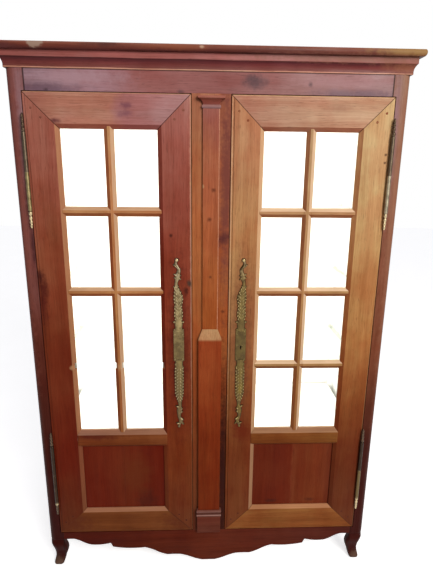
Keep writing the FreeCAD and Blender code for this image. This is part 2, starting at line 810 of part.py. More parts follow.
def door(keyhole, lost):
    """The right-hand door: a dictionary of its pieces, before fittings."""
    outer_stile = door_stile(door_edge, glass_right)
    inner_stile = door_stile(door_inner, glass_left)
    top_rail = door_rail(door_high, glass_high)
    bottom_rail = door_rail(door_low, door_low + frame_width)
    top_tenons = corner_tenons(door_high, -1)
    bottom_tenons = corner_tenons(door_low, 1)
    mid_rail, mid_tenon = mid_rail_blank()
    glazing = box(glass_left - rebate_width, glass_right + rebate_width,
                  glass_face, door_back + cut_over,
                  glass_low - rebate_width, glass_high + rebate_width)
    pocket_low = door_low + frame_width - groove_depth
    pocket_high = door_low + mid_rail_low + groove_depth
    panel_face = door_face + panel_offset
    pocket = box(glass_left - groove_depth, glass_right + groove_depth,
                 panel_face, panel_face + panel_thickness, pocket_low, pocket_high)
    hollows = [glazing, pocket]

    stile_cuts = hollows + top_tenons + bottom_tenons + [mid_tenon]
    outer_plain = cut_all(outer_stile, hollows)
    inner_plain = cut_all(inner_stile, hollows)
    mid_rail = cut_all(mid_rail, hollows + [outer_plain, inner_plain]).fuse(mid_tenon).removeSplitter()
    holes = peg_rods(peg_radius + peg_play)
    top_rail = cut_all(top_rail, hollows)
    bottom_rail = cut_all(bottom_rail, hollows)
    for tenon in top_tenons:
        top_rail = top_rail.fuse(tenon)
    for tenon in bottom_tenons:
        bottom_rail = bottom_rail.fuse(tenon)
    top_rail = cut_all(top_rail.removeSplitter(), holes)
    bottom_rail = cut_all(bottom_rail.removeSplitter(), holes)
    outer_stile = cut_all(outer_stile, stile_cuts + holes)
    inner_stile = cut_all(inner_stile, stile_cuts + holes)

    upright = run_z(bar_steps(bar_middle, False), glass_low - rebate_width, glass_high + rebate_width)
    upright = cut_all(upright, [top_rail, mid_rail])
    level_bars = []
    for index, height in enumerate(bar_heights):
        if index not in lost:
            bar = run_x(bar_steps(height, True), glass_left - rebate_width, glass_right + rebate_width)
            level_bars.append(cut_all(bar, [outer_stile, inner_stile, upright]))
    if lost:
        seats = lost_seats()
        outer_stile = cut_all(outer_stile, seats)
        inner_stile = cut_all(inner_stile, seats)
        upright = cut_all(upright, seats)

    boards = [box(x0, x1, panel_face, panel_face + panel_thickness,
                  pocket_low + panel_play, pocket_high - panel_play)
              for x0, x1 in ((glass_left - groove_depth + panel_play, bar_middle),
                             (bar_middle, glass_right + groove_depth - panel_play))]
    panes, putty = panes_and_putty(lost)
    plate = key_plate()
    nails, nail_holes = plate_nails()
    plate = cut_all(plate, nail_holes)
    inner_stile = cut_all(inner_stile, nail_holes)
    if keyhole:
        plate = plate.cut(keyhole_cut())
        inner_stile = inner_stile.cut(keyhole_cut())
    hinge_halves = [door_hinge_half(height) for height in hinge_heights]
    outer_stile = cut_all(outer_stile, hinge_halves)
    return {
        "outer_stile": [outer_stile],
        "inner_stile": [inner_stile],
        "top_rail": [top_rail],
        "mid_rail": [mid_rail],
        "bottom_rail": [bottom_rail],
        "lower_panel": boards,
        "glazing_bars": [upright] + level_bars,
        "panes": panes,
        "putty": putty,
        "pegs": peg_rods(peg_radius),
        "key_plate": [plate],
        "plate_nails": nails,
        "hinge_halves": hinge_halves,
    }


def finial(outward):
    """Outline steps of a turned finial, from the barrel's end outwards."""
    steps = [(finial_neck, 0.0)]
    height = 0.0
    for radius, length in finial_beads:
        bead_top = height + length
        steps.append(((radius, outward * (height + length / 2)), (finial_neck, outward * bead_top)))
        height = bead_top
    radius, length = finial_tip
    steps.append(((radius, outward * (height + length / 3)),
                  (finial_end_radius, outward * (height + length))))
    return steps


def raised(steps, height):
    """Outline steps moved up."""
    moved = []
    for step in steps:
        if isinstance(step[0], tuple):
            moved.append(tuple((radius, z + height) for radius, z in step))
        else:
            moved.append((step[0], step[1] + height))
    return moved


def door_hinge_half(height):
    """Upper half of a hinge: bored barrel, finial on top and the leaf let into the door's edge."""
    bore = hinge_pin_radius + hinge_pin_play
    bore_end = height + hinge_pin_length + hinge_pin_play
    top = height + barrel_length
    steps = [(bore, height), (barrel_radius, height), (barrel_radius, top)]
    steps += raised(finial(1), top)
    tip_height = steps[-1][1][1]
    steps += [(0.0, tip_height), (0.0, bore_end), (bore, bore_end)]
    leaf = box(door_edge - leaf_thickness, door_edge, hinge_y + leaf_root, door_face + leaf_reach,
               height + leaf_low, height + leaf_high)
    return turned(steps, hinge_x, hinge_y).fuse(leaf)


def post_hinge_half(height):
    """Lower half of a hinge: barrel with its pin, finial below and the leaf let into the post."""
    top = height - knuckle_gap
    low = height - barrel_length
    pin_end = height + hinge_pin_length
    rising = hanging_finial(low)
    steps = [(0.0, rising[0][1])] + rising
    steps += [(barrel_radius, low), (barrel_radius, top), (hinge_pin_radius, top),
              (hinge_pin_radius, pin_end), (0.0, pin_end)]
    leaf = box(door_edge + door_gap, door_edge + door_gap + leaf_thickness,
               hinge_y + leaf_root, front + leaf_reach, height - leaf_high, height - leaf_low)
    return turned(steps, hinge_x, hinge_y).fuse(leaf)


def hanging_finial(low):
    """A hanging finial's outline, from its tip up to the barrel."""
    steps = raised(finial(-1), low)
    ends = [steps[0]] + [step[1] for step in steps[1:]]
    rising = [ends[-1]]
    for index in range(len(steps) - 1, 0, -1):
        rising.append((steps[index][0], ends[index - 1]))
    return rising


def key_plate():
    """A long brass key plate: plain middle, lobed ends drawn out to a ball."""
    def at(half, height):
        return (plate_x + half, lock_z + height)

    rising = [at(plate_middle_half, 0.0), at(plate_middle_half, plate_middle_height), at(*plate_neck)]
    for widest, narrowest in plate_lobes:
        rising.append((at(*widest), at(*narrowest)))
    rising.append(at(plate_stem_half, plate_stem_end))
    rising.append((at(*plate_ball), at(*plate_end)))
    quarter = run_y(rising + [at(0.0, plate_end[1]), at(0.0, 0.0)],
                    door_face - plate_thickness, door_face)
    middle = Vec(plate_x, 0, lock_z)
    upper = quarter.fuse(quarter.mirror(middle, Vec(1, 0, 0)))
    return upper.fuse(upper.mirror(middle, Vec(0, 0, 1))).removeSplitter()


def plate_nails():
    """Round-headed nails of a key plate, and their holes."""
    nails = []
    holes = []
    head = door_face - plate_thickness
    for across, up in nail_places:
        x = plate_x + across
        z = lock_z + up
        shank = rod(x, head, z, nail_radius, nail_length, Vec(0, 1, 0))
        cap = rod(x, head - nail_head_height, z, nail_head_radius, nail_head_height, Vec(0, 1, 0))
        nails.append(shank.fuse(cap))
        holes.append(rod(x, head, z, nail_radius + nail_play, nail_length + nail_play, Vec(0, 1, 0)))
    return nails, holes


def keyhole_cut():
    """A keyhole right through plate, stile and the front of the lock."""
    near = door_face - plate_thickness - cut_over
    far = door_back + lock_wall
    eye = rod(plate_x, near, lock_z, keyhole_radius, far - near, Vec(0, 1, 0))
    slot_half = keyhole_slot_width / 2
    slot = box(plate_x - slot_half, plate_x + slot_half, near, far, lock_z - keyhole_slot_height, lock_z)
    return eye.fuse(slot)


def lock():
    """Rim lock: case with a channel, the bolt in it, and the strike cut for the centre post."""
    y0 = door_back + lock_wall
    y1 = y0 + lock_bolt_thickness
    bolt = box(lock_x, lock_x + lock_bolt_length, y0, y1, lock_z - lock_bolt_half, lock_z + lock_bolt_half)
    channel = box(lock_x - cut_over, lock_x + lock_bolt_length + lock_channel_spare,
                  y0 - bolt_play, y1 + bolt_play,
                  lock_z - lock_bolt_half - bolt_play, lock_z + lock_bolt_half + bolt_play)
    case = box(lock_x, lock_x + lock_width, door_back, door_back + lock_thickness,
               lock_z - lock_case_height / 2, lock_z + lock_case_height / 2)
    strike = box(lock_x - lock_bolt_throw - strike_play, door_inner + stop_lap + cut_over,
                 y0 - strike_play, y1 + strike_play,
                 lock_z - lock_bolt_half - strike_play, lock_z + lock_bolt_half + strike_play)
    return case.cut(channel).cut(keyhole_cut()), bolt, strike


def slide_bolt(end, outward):
    """One slide bolt on the right-hand pattern door, its guide, and the keeper cut in the rail."""
    tip = end - outward * (stop_lap + slide_bolt_end_gap)
    tail = tip - outward * slide_bolt_length
    middle = (tip + tail) / 2
    y0 = slide_bolt_front
    y1 = y0 + slide_bolt_thickness
    bar = box(plate_x - slide_bolt_half, plate_x + slide_bolt_half, y0, y1, min(tip, tail), max(tip, tail))
    knob = rod(plate_x, y1, middle, slide_knob_radius, slide_knob_height, Vec(0, 1, 0))
    plate = box(plate_x - guide_half, plate_x + guide_half, door_back, door_back + guide_plate_thickness,
                middle - guide_plate_length / 2, middle + guide_plate_length / 2)
    passage = box(plate_x - slide_bolt_half - bolt_play, plate_x + slide_bolt_half + bolt_play,
                  y0 - bolt_play, y1 + bolt_play, middle - guide_plate_length, middle + guide_plate_length)
    reach = guide_plate_length / 2 - guide_bridge_from_end
    guide = plate
    for low in (middle - reach, middle + reach - guide_bridge_width):
        bridge = box(plate_x - slide_bolt_half - bolt_play - guide_bridge_wall,
                     plate_x + slide_bolt_half + bolt_play + guide_bridge_wall,
                     door_back, y1 + bolt_play + guide_bridge_wall, low, low + guide_bridge_width)
        guide = guide.fuse(bridge)
    thrown = tip + outward * (slide_bolt_throw + strike_play)
    keeper = box(plate_x - slide_bolt_half - strike_play, plate_x + slide_bolt_half + strike_play,
                 y0 - strike_play, y1 + strike_play, min(tip, thrown), max(tip, thrown))
    return bar.fuse(knob), guide.cut(passage), keeper


def even_boards(x0, x1, y0, y1, z0, z1, count):
    """Boards laid side by side from front to back."""
    width = (y1 - y0) / count
    return [box(x0, x1, y0 + index * width, y0 + (index + 1) * width, z0, z1)
            for index in range(count)]


def shelf_level(underside):
    """Bearers of one shelf: one along each side, and one from centre post to back muntin."""
    low = underside - bearer_height
    right = box(post_inner - bearer_thickness, post_inner,
                front + bearer_front, rear_front + bearer_rear_lap, low, underside)
    centre = box(-centre_bearer_half, centre_bearer_half, centre_back, back_rail_in, low, underside)
    return both_sides(right) + [centre]


def inside():
    """Floor and wooden shelf boards, glass shelves, and the bearers that carry them."""
    floor_low = floor_top - board_thickness
    wide = side_rail_in - board_play
    narrow = post_inner - board_play
    boards = even_boards(-wide, wide, rail_back, back_rail_in, floor_low, floor_top, board_count)
    notch = box(narrow, wide + cut_over, rail_back - cut_over, post_back + board_play,
                floor_low - cut_over, floor_top + cut_over)
    rear_notch = box(narrow, wide + cut_over, rear_front - board_play, back,
                     floor_low - cut_over, floor_top + cut_over)
    boards = [cut_all(board, both_sides(notch) + both_sides(rear_notch)) for board in boards]
    wood_top = door_low + mid_rail_low + wood_shelf_from_mid_rail
    shelf_front = centre_back + shelf_front_gap
    shelf_back = back_rail_in - shelf_back_gap
    shelf_half = post_inner - shelf_play
    boards += even_boards(-shelf_half, shelf_half, shelf_front, shelf_back,
                          wood_top - board_thickness, wood_top, board_count)
    floor_bearer = box(side_rail_in - floor_bearer_width, side_rail_in,
                       post_back + floor_bearer_end_gap, rear_front - floor_bearer_end_gap,
                       floor_low - floor_bearer_height, floor_low)
    bearers = both_sides(floor_bearer) + shelf_level(wood_top - board_thickness)
    glass = []
    for height in bar_heights:
        underside = height - shelf_glass_thickness / 2
        bearers += shelf_level(underside)
        half = box(shelf_middle_gap / 2, shelf_half, shelf_front, shelf_back,
                   underside, underside + shelf_glass_thickness)
        glass += both_sides(half)
    return boards, glass, bearers


def side_pegs(radius):
    """Pegs through the right side's tenons, driven from outside, two at each joint."""
    rods = []
    for low in (side_bottom_low, side_mid_low, carcass_top - side_rail_height):
        for y in (post_back - frame_tenon / 2, rear_front + frame_tenon / 2):
            for z in (low + side_rail_height / 3, low + side_rail_height * 2 / 3):
                rods.append(rod(side_rail_in, y, z, radius, side - side_rail_in, Vec(1, 0, 0)))
    return rods


def carcass(strike, keepers):
    """All fixed wooden pieces of the body, jointed together, as a dictionary of nodes."""
    rails, tenons = side_rails()
    pockets = side_pockets()
    bottom, top, muntin, back_tenons, muntin_tenon, back_pocket = back_frame()
    frieze, frieze_tenon = frieze_rail()
    apron, apron_tenon = apron_rail()
    middle, middle_tenons = centre_post()
    holes = side_pegs(peg_radius + peg_play)

    post_hinges = [post_hinge_half(height) for height in hinge_heights]
    post = cut_all(front_post(), tenons + pockets + holes + [frieze_tenon, apron_tenon] + post_hinges)
    rear = box(post_inner, side, rear_front, back, 0.0, carcass_top)
    rear = cut_all(rear, tenons + pockets + holes + back_tenons + [back_pocket])
    rails = [cut_all(cut_all(rail, pockets).fuse(tenon), holes) for rail, tenon in zip(rails, tenons)]

    frieze = cut_all(frieze, [middle_tenons[1]] + keepers[:1])
    apron = cut_all(apron, [middle_tenons[0]] + keepers[1:])
    for tenon in both_sides(frieze_tenon):
        frieze = frieze.fuse(tenon)
    for tenon in both_sides(apron_tenon):
        apron = apron.fuse(tenon)
    for tenon in middle_tenons:
        middle = middle.fuse(tenon)
    middle = middle.removeSplitter().cut(strike)

    back_pockets = both_sides(back_pocket)
    bottom = cut_all(bottom, back_pockets + [muntin_tenon])
    top = cut_all(top, back_pockets + [muntin_tenon])
    for tenon in both_sides(back_tenons[0]):
        bottom = bottom.fuse(tenon)
    for tenon in both_sides(back_tenons[1]):
        top = top.fuse(tenon)
    muntin = cut_all(muntin, back_pockets).fuse(muntin_tenon)

    base, lower, upper, capital = pilaster()
    cornice_front, cornice_right = cornice()
    side_panels = [panel_in(pocket) for pocket in pockets]
    boards, glass, bearers = inside()
    inner_x = side - cornice_base
    top_boards = even_boards(-inner_x, inner_x, front + cornice_base, back,
                             carcass_top, carcass_top + top_board_thickness, top_board_count)
    return {
        "front_post_right": [post],
        "front_post_left": [mirrored(post)],
        "rear_post_right": [rear],
        "rear_post_left": [mirrored(rear)],
        "frieze_rail": [frieze],
        "apron_rail": [apron],
        "centre_post": [middle],
        "pilaster_base": [base],
        "pilaster_lower_shaft": [lower],
        "pilaster_upper_shaft": [upper],
        "pilaster_capital": [capital],
        "cornice_front": [cornice_front],
        "cornice_right": [cornice_right],
        "cornice_left": [mirrored(cornice_right)],
        "top_boards": top_boards,
        "side_rails_right": rails,
        "side_rails_left": [mirrored(rail) for rail in rails],
        "side_panels_right": side_panels,
        "side_panels_left": [mirrored(panel) for panel in side_panels],
        "back_bottom_rail": [bottom],
        "back_top_rail": [top],
        "back_muntin": [muntin],
        "back_panels": both_sides(panel_in(back_pocket)),
        "shelf_boards": boards,
        "glass_shelves": glass,
        "shelf_bearers": bearers,
        "frame_pegs": side_pegs(peg_radius) + [mirrored(peg) for peg in side_pegs(peg_radius)],
        "post_hinge_halves_right": post_hinges,
        "post_hinge_halves_left": [mirrored(half) for half in post_hinges],
    }


def write_node(name, shapes):
    """One file for a node, holding each of its separate solids."""
    solids = [solid for shape in shapes for solid in shape.Solids]
    for solid in solids:
        if not solid.isValid() or solid.Volume <= 0:
            raise ValueError(name + " is not a sound solid")
    Part.makeCompound(solids).exportStep(os.path.join("parts", name + ".step"))


lock_case, lock_bolt, strike = lock()
top_bolt, top_guide, top_keeper = slide_bolt(door_high, 1)
bottom_bolt, bottom_guide, bottom_keeper = slide_bolt(door_low, -1)
nodes = carcass(strike, [mirrored(top_keeper), mirrored(bottom_keeper)])
for piece, shapes in door(True, []).items():
    nodes["right_door_" + piece] = shapes
for piece, shapes in door(False, [lost_bar - 1]).items():
    nodes["left_door_" + piece] = [mirrored(shape) for shape in shapes]
nodes["lock_case"] = [lock_case]
nodes["lock_bolt"] = [lock_bolt]
nodes["top_slide_bolt"] = [mirrored(top_bolt)]
nodes["bottom_slide_bolt"] = [mirrored(bottom_bolt)]
nodes["slide_bolt_guides"] = [mirrored(top_guide), mirrored(bottom_guide)]

os.makedirs("parts", exist_ok=True)
for name, shapes in nodes.items():
    write_node(name, shapes)
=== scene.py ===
import math

import bmesh
import bpy
from mathutils import Matrix, Vector


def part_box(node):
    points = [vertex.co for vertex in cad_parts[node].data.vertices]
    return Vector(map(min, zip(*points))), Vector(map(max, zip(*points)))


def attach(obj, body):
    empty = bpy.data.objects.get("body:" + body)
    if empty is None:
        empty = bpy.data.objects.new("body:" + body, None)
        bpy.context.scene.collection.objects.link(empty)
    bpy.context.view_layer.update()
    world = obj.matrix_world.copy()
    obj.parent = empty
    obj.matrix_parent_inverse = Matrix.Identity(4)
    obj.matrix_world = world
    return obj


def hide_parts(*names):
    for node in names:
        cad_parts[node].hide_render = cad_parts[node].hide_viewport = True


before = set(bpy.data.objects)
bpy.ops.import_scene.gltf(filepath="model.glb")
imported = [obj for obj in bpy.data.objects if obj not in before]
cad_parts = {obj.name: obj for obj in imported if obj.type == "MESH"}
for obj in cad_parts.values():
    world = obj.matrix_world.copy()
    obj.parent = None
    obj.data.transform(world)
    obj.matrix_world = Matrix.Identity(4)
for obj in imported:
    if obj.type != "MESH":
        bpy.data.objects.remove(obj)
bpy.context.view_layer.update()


# Front posts: the two corner uprights, sawn from fruitwood planks, each with a small curved foot
# cut from the same piece. They are waxed red-brown, with a purplish painted sheen above, and the
# toes are worn.

def tone(red, green, blue):
    """A colour given as on a screen, 0 to 255, as the linear colour that a shader takes."""
    def linear(level):
        share = level / 255
        return share / 12.92 if share <= 0.04045 else ((share + 0.055) / 1.055) ** 2.4
    return (linear(red), linear(green), linear(blue), 1.0)


def add(tree, kind, plugs, **settings):
    """One shader node with its settings; a plug is another node's output or a plain value."""
    made = tree.nodes.new("ShaderNode" + kind)
    for name, value in settings.items():
        setattr(made, name, value)
    for socket, source in plugs.items():
        if isinstance(source, bpy.types.NodeSocket):
            tree.links.new(source, made.inputs[socket])
        else:
            made.inputs[socket].default_value = source
    return made


def blank_material(name):
    """A new material, its node tree, and where its points lie in the piece's own frame."""
    material = bpy.data.materials.new(name)
    material.use_nodes = True
    tree = material.node_tree
    return material, tree, add(tree, "TexCoord", {}).outputs["Object"]


def dressed(material, colour, gloss, bump, *settings):
    """The material with its colour, roughness and bump joined up, and plain (socket, value) settings."""
    tree = material.node_tree
    shader = tree.nodes["Principled BSDF"]
    tree.links.new(colour, shader.inputs["Base Color"])
    tree.links.new(gloss, shader.inputs["Roughness"])
    tree.links.new(bump.outputs["Normal"], shader.inputs["Normal"])
    for socket, value in settings:
        shader.inputs[socket].default_value = value
    return material


def mapped(tree, place, stretch=(1, 1, 1), turn=(0, 0, 0), shift=(0, 0, 0)):
    """A place stretched, turned and then shifted."""
    plugs = {"Vector": place, "Location": shift, "Rotation": turn, "Scale": stretch}
    return add(tree, "Mapping", plugs).outputs["Vector"]


def cloud(tree, place, stretch, detail=3, shift=(0, 0, 0)):
    """Soft noise about 0.5, with stretch lumps to the metre along each axis."""
    spread = mapped(tree, place, stretch, shift=shift)
    plugs = {"Vector": spread, "Scale": 1.0, "Detail": detail, "Roughness": 0.55}
    return add(tree, "TexNoise", plugs).outputs["Fac"]


def ramp(tree, value, low, high, start=0.0, end=1.0):
    """A value brought smoothly from start to end as it goes from low to high."""
    plugs = {"Value": value, "From Min": low, "From Max": high, "To Min": start, "To Max": end}
    return add(tree, "MapRange", plugs, interpolation_type="SMOOTHSTEP").outputs["Result"]


def reckon(tree, how, first, second=0.0):
    """One or two numbers added, multiplied and so on."""
    return add(tree, "Math", {0: first, 1: second}, operation=how).outputs["Value"]


def weighed(tree, *pairs):
    """The sum of some values, each times its weight."""
    total = 0.0
    for value, weight in pairs:
        total = reckon(tree, "ADD", reckon(tree, "MULTIPLY", value, weight), total)
    return total


def tint(tree, share, under, over, how="MIX"):
    """One colour laid over another by a share of 0 to 1."""
    plugs = {0: share, 6: under, 7: over}
    return add(tree, "Mix", plugs, data_type="RGBA", blend_type=how).outputs[2]


def spot(tree, place, stray, middle, reach):
    """How far a place is within a ragged round patch: 1 in its middle, 0 outside it."""
    stretch = [1 / size for size in reach]
    shift = [-at / size for at, size in zip(middle, reach)]
    away = mapped(tree, place, stretch, shift=shift)
    far = add(tree, "VectorMath", {0: away}, operation="LENGTH").outputs["Value"]
    return ramp(tree, reckon(tree, "ADD", far, stray), 0.1, 1.1, 1.0, 0.0)


def agreement(tree, first, second):
    """How far two directions agree: 1 for the same way, 0 for square to each other."""
    return add(tree, "VectorMath", {0: first, 1: second}, operation="DOT_PRODUCT").outputs["Value"]


def openness(tree, reach):
    """1 on open faces, less in the corners and joints that lie within reach."""
    return add(tree, "AmbientOcclusion", {"Distance": reach}, samples=6).outputs["AO"]


def arrises(tree, radius, low, high):
    """1 along the arrises of a piece, 0 on its flats, and the normal with those arrises eased."""
    eased = add(tree, "Bevel", {"Radius": radius}, samples=6).outputs["Normal"]
    true = add(tree, "NewGeometry", {}).outputs["Normal"]
    bend = reckon(tree, "SUBTRACT", 1.0, agreement(tree, eased, true))
    return ramp(tree, bend, low, high), eased


def graded(tree, place, by, tones, drift):
    """A colour that goes through the (place, colour) tones along one axis, straying by drift."""
    low, high = tones[0][0], tones[-1][0]
    along = add(tree, "SeparateXYZ", {"Vector": place}).outputs[by]
    stray = reckon(tree, "SUBTRACT", cloud(tree, place, (7, 7, 5), detail=4), 0.5)
    level = weighed(tree, (along, 1.0), (stray, 4 * drift))
    share = add(tree, "MapRange", {"Value": level, "From Min": low, "From Max": high})
    band = add(tree, "ValToRGB", {"Fac": share.outputs["Result"]})
    stops = band.color_ramp.elements
    stops[0].color = tones[0][1]
    stops[1].color = tones[-1][1]
    for at, colour in tones[1:-1]:
        stops.new((at - low) / (high - low)).color = colour
    return band.outputs["Color"]


DEEP_SHARE = (0.74, 0.66, 0.60, 1.0)
PALE_SHARE = (1.24, 1.32, 1.36, 1.0)
RUBBED_SHARE = (1.75, 1.95, 2.05, 1.0)
COOL_SHARE = (0.95, 0.80, 0.74, 1.0)
WARM_SHARE = (1.07, 1.16, 1.12, 1.0)
# How much the painted shade darkens slopes that look away from the light, and the side the light comes from
PAINTED_SHADE_SHARE = (0.66, 0.44, 0.40, 1.0)
LIGHT_SIDE = (0.75, 0.0, 0.66)
# Dark wax for the pores and joints, also laid in the darkened corners, where it is partly painted shade
WAX_DIRT_AND_SHADE = tone(34, 15, 10)
# Lumps to the metre, twice across the fibres and once along them
FINE_FIBRES, BROAD_FIGURE, PORES = (260, 260, 6), (42, 42, 1.2), (700, 700, 26)
FIBRE_SWAY = (0.04, 0.04, 0.0)
FIGURE_SPAN = 0.24
MARK_RAGGEDNESS = 1.7
SEAM_CORE, SEAM_RIM = 0.0006, 0.0026
DIRT_AND_SHADE_REACH = 0.0038
# Heights about the middle rails over which the painted highlight and the painted shade change
HIGHLIGHT_FROM, HIGHLIGHT_TO = 0.56, 0.64
SHADE_FROM, SHADE_TO = 0.50, 0.72


def fruitwood(name, along, tones, by="Z", drift=0.1, figure=1.3, seed=0.0, sheen=0.06, worn=0.6,
              dirt=0.35, ease=0.0026, bleach=None, marks=(), seams=(), painted=None, upright=None):
    """Waxed old fruitwood with its fibres along one axis.

    tones are (place, colour) pairs along the axis that by names, straying by drift. ease is how far
    its arrises are rounded. bleach is (colour, share above, share below the middle rail): a
    painted highlight of that colour on its slopes towards the light side, while the slopes that look
    away get painted shade. marks are (middle, reach, colour, strength). seams are (across, up, total,
    strength): dark joint lines where across * |X| + up * Z is total. painted are the ways that its
    painted faces look. upright is (middle, half width) of a strip where the fibres run up instead.
    """
    material, tree, place = blank_material(name)
    spread = add(tree, "SeparateXYZ", {"Vector": place}).outputs
    aside = reckon(tree, "ABSOLUTE", spread["X"])
    quarter = math.pi / 2
    turns = {"X": (0, -quarter, 0), "Y": (quarter, 0, 0), "Z": (0, 0, 0)}
    shift = (seed, 0.7 * seed, 1.3 * seed)
    lying = mapped(tree, place, turn=turns[along], shift=shift)
    if upright:
        standing = mapped(tree, place, shift=shift)
        off_middle = reckon(tree, "ABSOLUTE", reckon(tree, "SUBTRACT", aside, upright[0]))
        share = ramp(tree, off_middle, upright[1], upright[1] + 0.001)
        lying = add(tree, "Mix", {0: share, 4: standing, 5: lying}, data_type="VECTOR").outputs[1]

    # The fibres wander a little, so the whole figure is drawn on a place pushed sideways.
    sway = add(tree, "TexNoise", {"Vector": mapped(tree, lying, (6, 6, 1.6)), "Scale": 1.0, "Detail": 2})
    push = add(tree, "VectorMath", {0: sway.outputs["Color"], 1: FIBRE_SWAY}, operation="MULTIPLY")
    fibres = add(tree, "VectorMath", {0: lying, 1: push.outputs[0]}, operation="ADD").outputs[0]
    fine = cloud(tree, fibres, FINE_FIBRES)
    broad = cloud(tree, fibres, BROAD_FIGURE, detail=4)
    slow = cloud(tree, place, (6, 6, 3.5), shift=(seed, seed, seed))
    pores = ramp(tree, cloud(tree, fibres, PORES, detail=2), 0.58, 0.72)
    mixed = weighed(tree, (fine, 0.33), (broad, 0.37), (slow, 0.30))
    share = ramp(tree, mixed, 0.5 - FIGURE_SPAN / figure, 0.5 + FIGURE_SPAN / figure)

    # The tones carry part of the light: on upright pieces they are darker towards the floor partly as
    # painted shade, and on the upper pieces their purplish tints are painted sheen.
    colour = graded(tree, place, by, tones, drift)
    colour = tint(tree, 1.0, colour, tint(tree, share, DEEP_SHARE, PALE_SHARE), "MULTIPLY")
    streaks = cloud(tree, fibres, (15, 15, 1.0))
    blotches = cloud(tree, place, (8, 8, 8), detail=4, shift=(2 * seed, seed, seed))
    warmth = ramp(tree, weighed(tree, (streaks, 0.55), (blotches, 0.45)), 0.40, 0.60)
    colour = tint(tree, 1.0, colour, tint(tree, warmth, COOL_SHARE, WARM_SHARE), "MULTIPLY")
    colour = tint(tree, reckon(tree, "MULTIPLY", pores, 0.4), colour, WAX_DIRT_AND_SHADE)
    ragged = weighed(tree, (cloud(tree, place, (34, 34, 34)), 0.6),
                     (cloud(tree, place, (120, 120, 120), detail=4), 0.4))
    stray = reckon(tree, "MULTIPLY", reckon(tree, "SUBTRACT", ragged, 0.5), MARK_RAGGEDNESS)
    for middle, reach, shade, strength in marks:
        share_here = reckon(tree, "MULTIPLY", spot(tree, place, stray, middle, reach), strength)
        colour = tint(tree, share_here, colour, shade)

    # Painted light: slopes that look towards the light side are painted pale as a highlight, and those that
    # look away are painted darker as shade, both more so above the middle rail.
    if bleach:
        lit = agreement(tree, add(tree, "TexCoord", {}).outputs["Normal"], LIGHT_SIDE)
        shaded_colour = tint(tree, 1.0, colour, PAINTED_SHADE_SHARE, "MULTIPLY")
        highlight_colour, above, below = bleach
        grained = tint(tree, share, tint(tree, 1.0, highlight_colour, DEEP_SHARE, "MULTIPLY"), highlight_colour)
        bleached = reckon(tree, "MULTIPLY", ramp(tree, lit, 0.1, 0.35),
                          ramp(tree, spread["Z"], HIGHLIGHT_FROM, HIGHLIGHT_TO, below, above))
        colour = tint(tree, bleached, colour, grained)
        shade_share = reckon(tree, "MULTIPLY", ramp(tree, lit, -0.35, -0.1, 1.0, 0.0),
                           ramp(tree, spread["Z"], SHADE_FROM, SHADE_TO, 0.2, 1.0))
        colour = tint(tree, shade_share, colour, shaded_colour)

    # Hands and cloths rub the arrises pale; the corners and joints are darkened by old wax and dust
    # and by painted shade.
    arris, eased = arrises(tree, ease, 0.02, 0.18)
    patches = ramp(tree, cloud(tree, place, (38, 38, 38), detail=4), 0.34, 0.6, 0.25, 1.0)
    rubbed = tint(tree, 1.0, colour, RUBBED_SHARE, "MULTIPLY")
    rubbing = reckon(tree, "MULTIPLY", reckon(tree, "MULTIPLY", arris, patches), worn)
    colour = tint(tree, rubbing, colour, rubbed)
    dirty = ramp(tree, openness(tree, DIRT_AND_SHADE_REACH), 0.35, 0.8, dirt, 0.0)
    colour = tint(tree, dirty, colour, WAX_DIRT_AND_SHADE)
    for across, up, total, strength in seams:
        line = weighed(tree, (aside, across), (spread["Z"], up), (total, -1.0))
        gap = ramp(tree, reckon(tree, "ABSOLUTE", line), SEAM_CORE, SEAM_RIM, strength, 0.0)
        colour = tint(tree, gap, colour, WAX_DIRT_AND_SHADE)

    gloss = ramp(tree, cloud(tree, fibres, (40, 40, 6), detail=4), 0.25, 0.75, 0.38, 0.6)
    relief = weighed(tree, (fine, 0.5), (pores, -1.0))
    if painted:
        paint, coverage = house_paint(tree, place, painted)
        colour = tint(tree, coverage, colour, paint)
        gloss = weighed(tree, (gloss, 1.0), (coverage, 0.15))
    bump = add(tree, "Bump", {"Strength": 0.3, "Distance": 0.0004, "Height": relief, "Normal": eased})
    return dressed(material, colour, gloss, bump, ("Specular IOR Level", sheen))


def finish(material, *names):
    """Lays a material on every slot of the named CAD pieces."""
    for name in names:
        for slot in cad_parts[name].material_slots:
            slot.material = material


CARCASS_FACE = -0.236
TOE_WEAR = tone(106, 80, 64)
LILAC_PAINTED_SHEEN = tone(160, 126, 130)
POST_JOINT = (1, 0, 0.5905, 0.8)
arris_tones = {"left": tone(146, 80, 66), "right": tone(146, 100, 76)}
post_tones = {
    "left": [(0.10, tone(60, 17, 12)), (0.45, tone(62, 20, 14)), (1.00, tone(98, 44, 33)),
             (1.55, tone(134, 80, 76)), (1.85, tone(138, 92, 92))],
    "right": [(0.10, tone(62, 19, 14)), (0.45, tone(62, 22, 16)), (1.00, tone(126, 74, 52)),
              (1.55, tone(140, 94, 75)), (1.85, tone(144, 104, 88))],
}
for side, sign in (("right", 1), ("left", -1)):
    # The lilac mark high up on each post is painted sheen; the mark at the toe is wear.
    marks = [((sign * 0.620, -0.232, 0.005), (0.040, 0.04, 0.045), TOE_WEAR, 0.9),
             ((sign * 0.604, CARCASS_FACE, 1.700), (0.020, 0.03, 0.350), LILAC_PAINTED_SHEEN, 0.6),
             ((sign * 0.650, -0.220, 1.500), (0.040, 0.08, 0.900), arris_tones[side], 0.75)]
    if side == "left":
        marks.append(((-0.604, CARCASS_FACE, 1.330), (0.014, 0.03, 0.110), tone(60, 28, 32), 0.75))
    finish(fruitwood("post_wood_" + side, "Z", post_tones[side], seed=3.0 + sign, marks=marks,
                     seams=[POST_JOINT]), "front_post_" + side)


